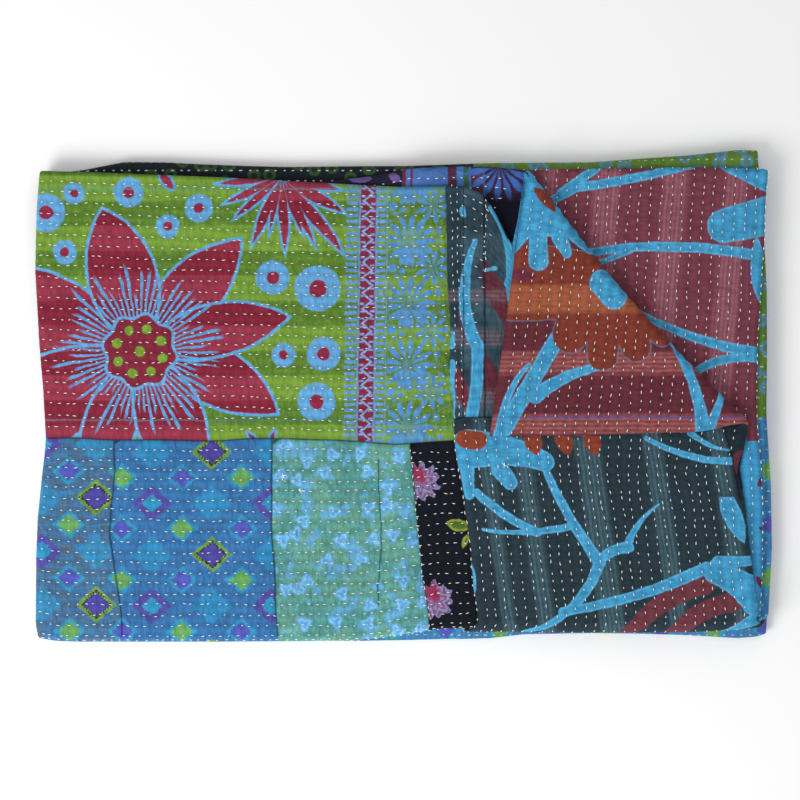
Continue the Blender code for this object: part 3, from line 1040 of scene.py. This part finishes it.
def blossomCloth():
    # Many washings leave the ground cloudy and the blossom pale.
    cloth = Print("faded sea-green cotton with blue blossom", "#52928a", 2.5)
    cloth.paint(cloth.above(cloth.add("noise", cloth.chart, 0.03, 3), 0.5, 0.12), "#70a688", 0.5)
    lace = abs(cloth.add("noise", cloth.chart, 0.075, 3) - 0.5) - 0.012
    cloth.paint(cloth.inside(lace, 0.02), "#6fb2d4", 0.55)
    cloth.paint(cloth.above(cloth.add("noise", cloth.chart, 0.05), 0.58, 0.03), "#61a5da", 0.7)
    slots = ("Vector", "Scale", "Randomness")
    cell = cloth.add(
        "ShaderNodeTexVoronoi", cloth.place, 0.034, 0.8, slots=slots, out=2, voronoi_dimensions="2D"
    )
    away = cloth.add("v.MULTIPLY_ADD", cell, (-1, -1, 0), cloth.place)
    across, along = cloth.add("split", away)
    turn = cloth.add("ARCTAN2", along, across) * 3.0 + cell * 0.7
    leaf = cloth.add("SINE", turn) * 1.5 + cloth.add("noise", cloth.chart, 0.3) * 3.0
    trefoil = cloth.add("v.LENGTH", away, out=1) - leaf
    cloth.fill(trefoil - 5.2, "#64aadf", 0.95, 1.8)
    cloth.fill(abs(trefoil - 2.6) - 0.7, "#9ad0f0", 0.7, 1.6)
    cloth.paint(cloth.above(cloth.add("noise", cloth.chart, 0.14, 4), 0.60, 0.05), "#44806e", 0.35)
    mend = cloth.x - cloth.add("SINE", cloth.y * 0.05) * 1.4
    length = cloth.inside(cloth.bars(cloth.y, (532, 74)))
    cloth.paint(cloth.inside(cloth.bars(mend, (379.5, 0.8)), 1.0) * length, "#1f5a6a", 0.9)
    return cloth.finish(0.24)


def darkCloth():
    # A ground dyed nearly black sets off the blossom, whose colours have bled a little.
    cloth = Print("black cotton with lilac blossom", "#11141f")
    for x, y, size, turn in ((420, 482, 18, 0.2), (434, 600, 18, 0.9)):
        angle, away = cloth.polar(x, y)
        rough = cloth.add("noise", cloth.chart, 0.16, 3) * 13.0 - 2.0
        lobes = abs(cloth.add("SINE", angle * 5.5 + turn)) * 6.0
        shape = away + rough - lobes - size
        cloth.fill(shape, "#8688b8")
        cloth.fill(cloth.stroke(x - 8, y - 16, x + 2, y - 2, 0, 9, 4) & shape, "#8c2a4c", 0.85, 3.0)
        veins = cloth.wave(away + cloth.add("SINE", angle * 7.0) * 3.0, 7.0)
        veins = cloth.above(veins, 0.55, 0.3) * cloth.inside(shape + 1.5)
        cloth.paint(veins, "#8a2c50", 0.8)
        cloth.fill(cloth.disc(x - 2, y - 6, 6.0), "#9c2648", 0.7, 8.0)
    leaves = cloth.petal(446, 522, 470, 528, 6, 6) | cloth.petal(468, 534, 462, 548, 3, 3)
    cloth.fill(leaves, "#8c9838")
    cloth.fill(leaves + 2.2, "#4c6a28")
    return cloth.finish()


# Brushed strokes: x and y of both ends, bow, half width at both ends
branchStrokes = (
    (539, 456, 599, 562, 4, 3.0, 6.0),
    (599, 560, 524, 633, -14, 6.0, 2.5),
    (476, 492, 536, 532, 3, 4.0, 4.5),
    (482, 529, 571, 525, 5, 1.5, 4.0),
    (599, 560, 628, 547, -3, 5.0, 5.5),
    (626, 549, 658, 504, -5, 4.5, 0.8),
    (562, 611, 705, 567, 6, 4.5, 6.0),
    (712, 572, 754, 598, -4, 10.0, 17.0),
    (716, 562, 748, 560, 0, 7.0, 5.0),
    (646, 437, 731, 461, 6, 2.5, 4.0),
    (690, 431, 728, 450, 3, 3.5, 1.0),
    (722, 637, 762, 613, 0, 3.0, 8.0),
    (464, 450, 544, 461, -5, 20.0, 10.0),
    (499, 468, 510, 483, 0, 9.0, 7.0),
    (465, 445, 469, 494, 0, 9.0, 5.0),
    (470, 562, 472, 596, -3, 1.0, 1.5),
)
maroonBands = (
    (622, 641, 704, 582, -8, 7, 11),
    (668, 641, 732, 601, -8, 8, 10),
    (722, 641, 757, 611, -3, 4, 2),
)


def branchCloth():
    # Brushed branches are streaky, and fine pale threads run through the dark ground. Near the
    # right fold, painted shade stands in for a tuck.
    cloth = Print("dark teal cotton with brushed blue branches", "#26363f", turned=True)
    lean = cloth.x - cloth.y * 0.147 + 64.7
    stripes = ((482, 6), (519, 8), (585, 12), (651, 9), (716, 8))
    cloth.woven(lean, "#51737f", 0.62, *stripes)
    cloth.fill(cloth.strokes(maroonBands), "#6c3640")
    leaf = cloth.petal(719, 484, 743, 543, 10, 9) & (cloth.y * -1 + 497.0)
    cloth.brush(leaf | cloth.strokes(branchStrokes))
    # A tuck that the shape lacks: the cloth beside it darkened with painted shade, with a maroon
    # patch of the cloth below.
    tuck = cloth.x - cloth.y * 0.2 - 639.0
    upper = cloth.above(cloth.y * -1, -499.0, 5.0)
    cloth.paint(cloth.above(tuck, 0.0, 1.2) * upper, "#1f2d35")
    cloth.fill(cloth.stroke(739, 457, 738, 468, 0, 7, 6), "#64303c")
    # Painted shadow line along the tuck.
    cloth.paint(cloth.inside(cloth.bars(tuck, (0.0, 0.9))) * upper, "#10181e", 0.8)
    tips = [cloth.petal(x - 11, 426, x, 455, 8, 9) for x in (537, 568, 596)]
    cloth.fill(cloth.union(tips) | cloth.stroke(464, 439, 478, 440, 0, 9, 9), "#8a3f2c")
    return cloth.finish()


stripStrokes = (
    (475, 241, 464, 300, 3, 2.5, 6.0),
    (464, 298, 477, 347, 3, 6.0, 6.5),
    (477, 345, 471, 418, -2, 6.5, 6.0),
    (462, 209, 463, 215, 0, 2.5, 3.0),
    (490, 208, 509, 284, -9, 2.5, 4.5),
    (509, 282, 510, 322, 0, 3.0, 1.5),
    (452, 334, 452, 346, 0, 2.5, 3.0),
    (452, 362, 452, 418, 0, 2.5, 3.0),
    (484, 270, 496, 268, 0, 1.5, 2.0),
)


def stripCloth():
    # A strip of the same brushed cotton, worn soft, with slanting maroon bands and painted shade
    # along two upright tucks.
    cloth = Print("dark teal and maroon cotton strip", "#2c414d")
    cloth.paint(cloth.above(cloth.add("noise", cloth.chart, 0.03), 0.5, 0.2), "#456270", 0.7)
    cloth.paint(cloth.inside(cloth.x - 461.0, 2.0), "#22343f", 0.75)
    slant = cloth.above(cloth.wave(cloth.x * 1.5 - cloth.y, 95.0, -3.06), 0.64, 0.05)
    slant = slant * cloth.above(cloth.x, 482.0, 1.0) * cloth.above(cloth.y, 262.0, 3.0)
    cloth.paint(slant, "#64303c")
    cloth.woven(cloth.y, "#8a7480", 0.5, (296, 6), (338, 9), (398, 9))
    marks = cloth.petal(459, 306, 474, 347, 6, 5) | cloth.petal(456, 366, 468, 412, 7, 5)
    cloth.fill(marks, "#6c2e3a")
    cloth.brush(cloth.strokes(stripStrokes))
    # Painted shade: dark lines along two upright tucks of the strip.
    cloth.fill(cloth.bars(cloth.x, (484.0, 1.2), (463.0, 0.7)), "#0f1920", 0.7)
    return cloth.finish()


rustStrokes = (
    (556, 338, 500, 434, 0, 8.0, 8.0),
    (600, 366, 534, 396, 4, 3.5, 8.0),
    (528, 364, 499, 430, 6, 2.0, 5.0),
    (664, 334, 700, 434, -8, 3.0, 7.0),
    (722, 384, 702, 434, -2, 2.0, 6.5),
)
# Lobes of the rust flower, then the blue drops above it, as strokes
lobes = (
    (600, 292, 512, 301, 0, 28.0, 20.0),
    (588, 298, 569, 335, 0, 22.0, 18.0),
    (604, 300, 601, 356, 0, 20.0, 14.5),
    (620, 302, 634, 347, 0, 20.0, 14.5),
    (632, 306, 660, 338, 0, 16.0, 9.0),
    (600, 286, 512, 264, 0, 30.0, 22.0),
)
drops = (
    (526, 228, 509, 252, 0, 9.0, 5.0),
    (537, 236, 537, 262, 0, 9.0, 10.0),
    (558, 238, 565, 254, 0, 8.0, 5.0),
    (574, 236, 590, 250, 0, 8.0, 6.0),
)


def rustCloth():
    # Orange threads cross the rust flower in bands, so its colour changes from row to row.
    cloth = Print("maroon cotton with a rust flower", "#632c37", turned=True)
    cloth.woven(cloth.y, "#a8605f", 0.8, (363, 11), (424, 9))
    cloth.brush(cloth.strokes(rustStrokes))
    flower = cloth.strokes(lobes)
    cloth.fill(flower - 0.8, "#5c86a4", 0.8)
    cloth.fill(flower, "#7e382c")
    cloth.fill(cloth.bars(cloth.y, (299.5, 14)) & flower, "#96503a", 1.0, 4.0)
    cloth.woven(cloth.y, "#ad6444", 0.5, (299.5, 13))
    cloth.fill(cloth.petal(508, 274, 534, 277, 7, 6), "#6a2c40", 0.9, 2.5)
    cloth.brush(cloth.y - 238.0 | cloth.strokes(drops))
    cloth.fill(cloth.petal(532, 188, 554, 214, 4, 7), "#7e382c")
    cloth.brush(cloth.stroke(600, 283, 612, 298, 0, 12.5, 12.5))
    cloth.fill(cloth.bars(cloth.y, (417, 0.7)), "#4468b4", 0.6)
    return cloth.finish()


maroonStrokes = (
    (716, 164, 772, 176, 0, 2.0, 17.0),
    (724, 226, 774, 214, 0, 17.0, 20.0),
    (530, 207, 574, 188, 2, 4.0, 5.0),
    (572, 188, 692, 165, 2, 5.0, 4.0),
    (560, 193, 600, 165, 0, 4.0, 4.5),
    (574, 255, 758, 256, -9, 4.0, 5.5),
    (588, 267, 640, 246, 0, 2.5, 3.5),
    (636, 311, 766, 354, 7, 3.0, 6.0),
    (692, 373, 768, 360, -8, 4.0, 5.0),
)


def maroonCloth():
    # Rosy woven stripes show through the brushed branches' maroon ground.
    cloth = Print("maroon cotton with blue branches", "#763b49", turned=True)
    lean = cloth.x + cloth.y * 0.085 - 17.0
    cloth.woven(lean, "#a06674", 0.75, (548, 7), (606, 13), (673, 12), (735, 11))
    cloth.brush(cloth.petal(756, 236, 760, 304, 8, 8) | cloth.strokes(maroonStrokes))
    cloth.fill(cloth.bars(cloth.x, (746.5, 0.6)), "#4a5c9c", 0.3)
    return cloth.finish()


def rayCloth():
    # Printed stripes and the rays of a flower, with painted shade where the cloth goes under the
    # fold.
    cloth = Print("blue and maroon striped cotton", "#4a72b4", turned=True)
    cloth.fill(cloth.bars(cloth.x, (452, 4.5), (477, 6), (520, 4)), "#552c46")
    cloth.fill(cloth.bars(cloth.x, (466, 2.6)), "#3c6248")
    cloth.paint(cloth.above(cloth.x, 484.0, 3.0), "#3e2340")
    cloth.fill(cloth.star(500, 166, 15, 36, 3.4), "#416ab4")
    cloth.fill(abs(cloth.disc(500, 166, 9.0)) - 1.0, "#35507a", 0.8)
    # Painted shade: near black where the cloth goes under the fold and the hem notch.
    cloth.paint(cloth.above(cloth.y, 194.0, 16.0), "#0a0d1c", 0.96)
    cloth.paint(cloth.inside(cloth.x - 403.0, 2.0), "#241f34")
    leaves = cloth.petal(346, 176, 372, 178, 5, 4) | cloth.petal(388, 174, 400, 180, 4, 4)
    cloth.fill(leaves, "#6c5a90")
    cloth.fill(cloth.bars(cloth.x, (404, 1.6), (411, 1.2)), "#6c2a4c")
    return cloth.finish()


def skyCloth():
    # The inside of a great brushed leaf: one bright blue with a few maroon gaps, and dark teal
    # where it goes under the quarter's edge.
    cloth = Print("bright blue cotton", "#4098ca", turned=True)
    gaps = ((757, 486, 768, 476, 4, 4), (756, 576, 764, 590, 3, 3), (758, 528, 770, 531, 2, 2))
    cloth.fill(cloth.union([cloth.petal(*row) for row in gaps]), "#6c3040")
    # Dark teal left of the slanting line: partly the dark cloth that lies there, partly painted
    # shade under the quarter's edge.
    cloth.paint(cloth.inside(cloth.x - cloth.y * 0.12 - 684.0, 2.0), "#1c3038")
    return cloth.finish()


def farCloth(name, ground, leafy):
    # The plies of which only an edge shows, with soft leaves of another colour.
    cloth = Print(name, ground, 2.0)
    slots = ("Vector", "Scale")
    cell = cloth.add(
        "ShaderNodeTexVoronoi", cloth.place, 0.05, slots=slots, voronoi_dimensions="2D"
    )
    cloth.paint(cloth.inside(cell - 0.33, 0.08), leafy, 0.8)
    cloth.paint(cloth.inside(cell - 0.16, 0.08), ground, 0.8)
    return cloth.finish(plain=True)


# Who makes each cotton, and with what
makers = {
    "panel": (panelCloth,),
    "diamonds": (
        lozengeCloth, "blue cotton with woven lozenges, under", "#3f88c0",
        95, 497, 54, 53.5, 0.25, 0, True
    ),
    "lozenges": (
        lozengeCloth, "light blue cotton with lined lozenges", "#3b76a8", 95, 497, 54, 53.5, 0.85
    ),
    "ikat": (
        lozengeCloth, "blue cotton with woven lozenges", "#3370ac", 211, 451, 60, 51.5, 0.2, 1
    ),
    "blossom": (blossomCloth,),
    "dark": (darkCloth,),
    "branches": (branchCloth,),
    "strip": (stripCloth,),
    "rust": (rustCloth,),
    "maroon": (maroonCloth,),
    "rays": (rayCloth,),
    "sky": (skyCloth,),
    "green": (farCloth, "green cotton with blue leaves", "#587a30", "#4f86b4"),
    "black": (farCloth, "near-black cotton with dark green leaves", "#171d22", "#35522b"),
    "indigo": (farCloth, "indigo cotton", "#2c4062", "#3c5c88"),
}
for name in looks:
    maker, *given = makers[name]
    clothMesh.materials.append(maker(*given))
print("cottons", len(looks))
patchwork = bpy.data.objects.new("patchwork", clothMesh)
bpy.context.scene.collection.objects.link(patchwork)
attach(patchwork, "root")
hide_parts("throw")
print("cloth", len(clothMesh.vertices), "points", len(clothMesh.polygons), "faces")

# The running stitches, in metres and degrees. A stitch is between the shortest and the longest
# share of that length to either side of its middle.
stitching = {
    "Pitch": 0.0075,
    "Length": 0.0030,
    "Shortest": 0.32,
    "Longest": 0.66,
    "Width": 0.00074,
    "Height": 0.0008,
    "Wander": 0.0016,
    "Turn": 14.0,
    "Seed": 5,
    "bedding": 0.0002,
    "hemClear": 0.002,
    "flapClear": 0.011,
    "foldClear": 0.003,
    "coveredTo": (0.318, 0.208),
    "notchBares": (0.090, 0.160),
    "hemRun": 0.0686,
    "thread": "#f6f6f2",
    "yellowThread": "#f4d43c",
    "yellowLine": 0.1076,
    "knots": ((504, 465, 35), (300, 490, 60), (283, 476, 20)),
    "knotHalf": 0.0011,
    "knotTurns": (0, 55, 110),
    "twist": 0.0004,
    "twistDepth": 0.0002,
}


def threadMaterial(name, color):
    # Matt cotton thread: the fine ribs of its twist show as a soft grain.
    material = bpy.data.materials.new(name)
    material.use_nodes = True
    tree = material.node_tree
    shader = tree.nodes["Principled BSDF"]
    place = add(tree, "ShaderNodeTexCoord", out=3)
    twist = add(tree, "noise", place, 1 / stitching["twist"])
    bump = add(tree, "bump", 0.5, stitching["twistDepth"], twist)
    tree.links.new(bump.socket, shader.inputs["Normal"])
    shader.inputs["Base Color"].default_value = linear(color)
    shader.inputs["Roughness"].default_value = 0.8
    shader.inputs["Specular IOR Level"].default_value = 0.2
    return material


def stitchTree():
    # Stitches set along every line at a pitch, each lying on the cloth, a little astray.
    tree = bpy.data.node_groups.new("running stitches", "GeometryNodeTree")
    tree.is_modifier = True
    sockets = {"Lines": "Geometry"}
    for name in ("Pitch", "Length", "Shortest", "Longest", "Width", "Height", "Wander", "Turn"):
        sockets[name] = "Float"
    sockets.update(Seed="Int", Thread="Material")
    tree.interface.new_socket("Stitches", in_out="OUTPUT", socket_type="NodeSocketGeometry")
    for name, kind in sockets.items():
        tree.interface.new_socket(name, in_out="INPUT", socket_type="NodeSocket" + kind)
    group = tree.nodes.new("NodeGroupInput")
    given = {socket.name: Wire(socket) for socket in group.outputs if socket.name}

    def put(kind, *values, **settings):
        return add(tree, kind, *values, **settings)

    curve = put("GeometryNodeMeshToCurve", given["Lines"])
    slots = ("Curve", "Length")
    spaced = put("GeometryNodeResampleCurve", curve, given["Pitch"], slots=slots, mode="LENGTH")
    up = put("GeometryNodeInputNamedAttribute", "up", data_type="FLOAT_VECTOR")
    along = put("GeometryNodeInputTangent")
    slots = ("Min", "Max", "Seed")
    stray = put(
        "FunctionNodeRandomValue", (-1, -0.3, 0), (1, 0.3, 0), given["Seed"],
        slots=slots, out=0, data_type="FLOAT_VECTOR"
    )
    ahead, sideways = put("split", stray)
    ahead = put("v.SCALE", along, ahead * given["Wander"], slots=(0, "Scale"))
    side = put("v.CROSS_PRODUCT", up, along)
    side = put("v.SCALE", side, sideways * given["Wander"], slots=(0, "Scale"))
    slots = ("Geometry", "Offset")
    moved = put("GeometryNodeSetPosition", spaced, put("v.ADD", ahead, side), slots=slots)
    lift = put("align", up, axis="Z")
    laid = put("align", along, lift, axis="X", pivot_axis="Z")
    turn = put("chance", -1.0, 1.0, given["Seed"] + 1) * given["Turn"] * (math.pi / 180)
    turn = put("FunctionNodeEulerToRotation", put("ShaderNodeCombineXYZ", 0.0, 0.0, turn))
    laid = put("FunctionNodeRotateRotation", laid, turn, rotation_space="LOCAL")
    long = put("chance", given["Shortest"], given["Longest"], given["Seed"] + 2)
    long = long * given["Length"]
    size = put("ShaderNodeCombineXYZ", long, given["Width"] * 0.5, given["Height"] * 0.5)
    grain = put("GeometryNodeMeshUVSphere", 6, 4, 1.0)
    slots = ("Points", "Instance", "Rotation", "Scale")
    placed = put("GeometryNodeInstanceOnPoints", moved, grain, laid, size, slots=slots)
    real = put("GeometryNodeRealizeInstances", placed)
    slots = ("Geometry", "Material")
    dressed = put("GeometryNodeSetMaterial", real, given["Thread"], slots=slots)
    smoothed = put("GeometryNodeSetShadeSmooth", dressed)
    tree.links.new(smoothed.socket, tree.nodes.new("NodeGroupOutput").inputs[0])
    return tree


chances = np.random.default_rng(throw["seed"])


def stitchLine(face, cells, shown):
    # The parts of a line of the grid that show, each with a random start.
    runs = []
    run = []
    for row, column in cells:
        vert = vertAt(face, row, column)
        if shown[row, column]:
            spot = vert.co + vert.normal * stitching["bedding"]
            run.append((np.array(spot), np.array(vert.normal)))
        elif run:
            runs.append(run)
            run = []
    runs.append(run)
    for run in runs:
        if len(run) > 2:
            share = chances.uniform(0.05, 0.95)
            run[0] = tuple(first + (last - first) * share for first, last in zip(*run[:2]))
    return [run for run in runs if len(run) > 2]


def sewn(name, runs, material):
    # A mesh of the stitches along those lines.
    mesh = bpy.data.meshes.new(name)
    places = [tuple(spot) for run in runs for spot, _ in run]
    starts = np.cumsum([0] + [len(run) for run in runs])
    edges = [(k, k + 1) for a, b in zip(starts, starts[1:]) for k in range(a, b - 1)]
    mesh.from_pydata(places, edges, [])
    up = mesh.attributes.new("up", "FLOAT_VECTOR", "POINT")
    up.data.foreach_set("vector", np.array([normal for run in runs for _, normal in run]).ravel())
    thread = bpy.data.objects.new(name, mesh)
    bpy.context.scene.collection.objects.link(thread)
    sewing = thread.modifiers.new("stitches", "NODES")
    sewing.node_group = stitchGroup
    for item in stitchGroup.interface.items_tree:
        if item.in_out == "INPUT" and item.name in stitching:
            sewing[item.identifier] = stitching[item.name]
        elif item.name == "Thread":
            sewing[item.identifier] = material
    ready = thread.evaluated_get(bpy.context.evaluated_depsgraph_get())
    made = bpy.data.meshes.new_from_object(ready)
    thread.modifiers.clear()
    thread.data = made
    triangles = sum(len(face.vertices) - 2 for face in made.polygons)
    print(name, len(runs), "lines", triangles, "triangles")
    return thread


stitchGroup = stitchTree()
hem = read(sides, 4, flatY)
rightFold = read(sides, 2, flatY)
pastFold = math.pi * turnRadius
coveredX, coveredY = stitching["coveredTo"]
covered = (mirroredX < coveredX) & (mirroredY < coveredY)
topRows = range(topStart - 8, tall)
sewnRows = [row for row in topRows[:-1] if (row - topStart) % 2 == 0]
mainColumns = [column for column in range(wide) if 1.3 < columns[column] < 3.0]
cornerColumns = [column for column in range(wide) if 2.0 < columns[column] < 3.9]
flapColumns = [column for column in range(wide) if columns[column] >= 3.2]
underColumns = [column for column in range(wide) if columns[column] < 1]

panelRuns = []
clear = flatX < hem - stitching["hemClear"]
for row in sewnRows:
    if row != panelRow:
        panelRuns += stitchLine(1, [(row, column) for column in mainColumns], clear)
seamRows = range(topStart - 4, panelRow)
panelRuns += stitchLine(1, [(row, patchColumns[2]) for row in seamRows], flatX < hem)

turnedRuns = []
clear = (beyondFold > pastFold) & (flatX > 0)
for row in sewnRows:
    turnedRuns += stitchLine(-1, [(row, column) for column in cornerColumns], clear)

# On the flap: the quarter in front of its seam, then the part behind it
flapRuns = []
for column in range(flapStart + 2, wide, 2):
    flapRuns += stitchLine(-1, [(row, column) for row in topRows if row < flapRow], flatX > 0)
clear = (beyondFold < -0.002) & ~covered & (flatX > hem + stitching["flapClear"])
for row in sewnRows:
    if row > flapRow:
        flapRuns += stitchLine(-1, [(row, column) for column in flapColumns], clear)

# On the lower width, where the turned corner and the right fold bare it
clear = (beyondFold > 0.004) & (flatX > 0.1) | (flatX > rightFold + stitching["foldClear"])
for column in underColumns[::2]:
    flapRuns += stitchLine(-1, [(row, column) for row in topRows], clear)

# Loose knots of thread: three crossed stitches each
skin = BVHTree.FromBMesh(cloth)
for x, y, degrees in stitching["knots"]:
    place = Vector(((x - chart["x"]) * chart["step"], (chart["y"] - y) * chart["step"], 1.0))
    hit, normal, _, _ = skin.ray_cast(place, Vector((0, 0, -1)))
    for turn in stitching["knotTurns"]:
        angle = math.radians(degrees + turn)
        way = Vector((math.cos(angle), math.sin(angle), 0)) * stitching["knotHalf"]
        knot = [np.array(hit + way * k + normal * 0.0005) for k in (-1, 0, 1)]
        panelRuns.append([(spot, np.array(normal)) for spot in knot])

# Where the hem notch bares the lower width, then along the hems of the flap
notchEnd, notchFront = stitching["notchBares"]
clear = (flatY > notchFront) & (flatX < notchEnd)
for row in sewnRows:
    if row > flapRow:
        flapRuns += stitchLine(-1, [(row, column) for column in underColumns], clear)
clear = (beyondFold < 0) & ~covered
for column in (wide - 2, wide - 3, nearest(flatX[-1], stitching["hemRun"])):
    flapRuns += stitchLine(-1, [(row, column) for row in range(flapRow, tall)], clear)

middles = [np.mean([spot[0] for spot, _ in run]) for run in turnedRuns]
yellow = turnedRuns.pop(nearest(middles, stitching["yellowLine"]))
white = threadMaterial("matt white cotton thread", stitching["thread"])
gold = threadMaterial("matt yellow cotton thread", stitching["yellowThread"])
threads = [
    sewn("panel_stitches", panelRuns, white),
    sewn("flap_stitches", flapRuns + turnedRuns, white),
    sewn("yellow_stitches", [yellow], gold),
]
for thread in threads:
    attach(thread, "root")

# Floor, light and camera
studio = {
    "floor": "#ffffff",
    "floorHalf": 3.0,
    "floorDrop": 0.0004,  # just clear of the cloth, so that they don't flicker
    "world": 0.64,
    "lamp": 20.5,
    "lampSize": 0.9,
    "lampPlace": (-1.0, -0.9, 1.1),
    "lens": 85.0,
    "camera": (-0.003428, -0.00364225, 1.64),
}
reach = studio["floorHalf"]
ring = [(-reach, -reach, 0), (reach, -reach, 0), (reach, reach, 0), (-reach, reach, 0)]
floorMesh = bpy.data.meshes.new("floor")
floorMesh.from_pydata(ring, [], [(0, 1, 2, 3)])
floor = bpy.data.objects.new("floor", floorMesh)
floor.location = (0, 0, -studio["floorDrop"])
bpy.context.scene.collection.objects.link(floor)
# Matt white paint, which takes soft shadows and no reflections
material = bpy.data.materials.new("pale studio floor")
material.use_nodes = True
shader = material.node_tree.nodes["Principled BSDF"]
shader.inputs["Base Color"].default_value = linear(studio["floor"])
shader.inputs["Roughness"].default_value = 0.9
floorMesh.materials.append(material)
world = bpy.data.worlds.new("studio")
world.use_nodes = True
sky = world.node_tree.nodes["Background"]
sky.inputs["Color"].default_value = (1, 1, 1, 1)
sky.inputs["Strength"].default_value = studio["world"]
bpy.context.scene.world = world
lamp = bpy.data.lights.new("window", "AREA")
lamp.energy = studio["lamp"]
lamp.size = studio["lampSize"]
window = bpy.data.objects.new("window", lamp)
window.location = studio["lampPlace"]
window.rotation_euler = (-window.location).to_track_quat("-Z", "Y").to_euler()
bpy.context.scene.collection.objects.link(window)
lens = bpy.data.cameras.new("above")
lens.lens = studio["lens"]
camera = bpy.data.objects.new("above", lens)
camera.location = studio["camera"]
bpy.context.scene.collection.objects.link(camera)
bpy.context.scene.camera = camera
bpy.context.scene.view_settings.view_transform = "Standard"
print("studio ready")
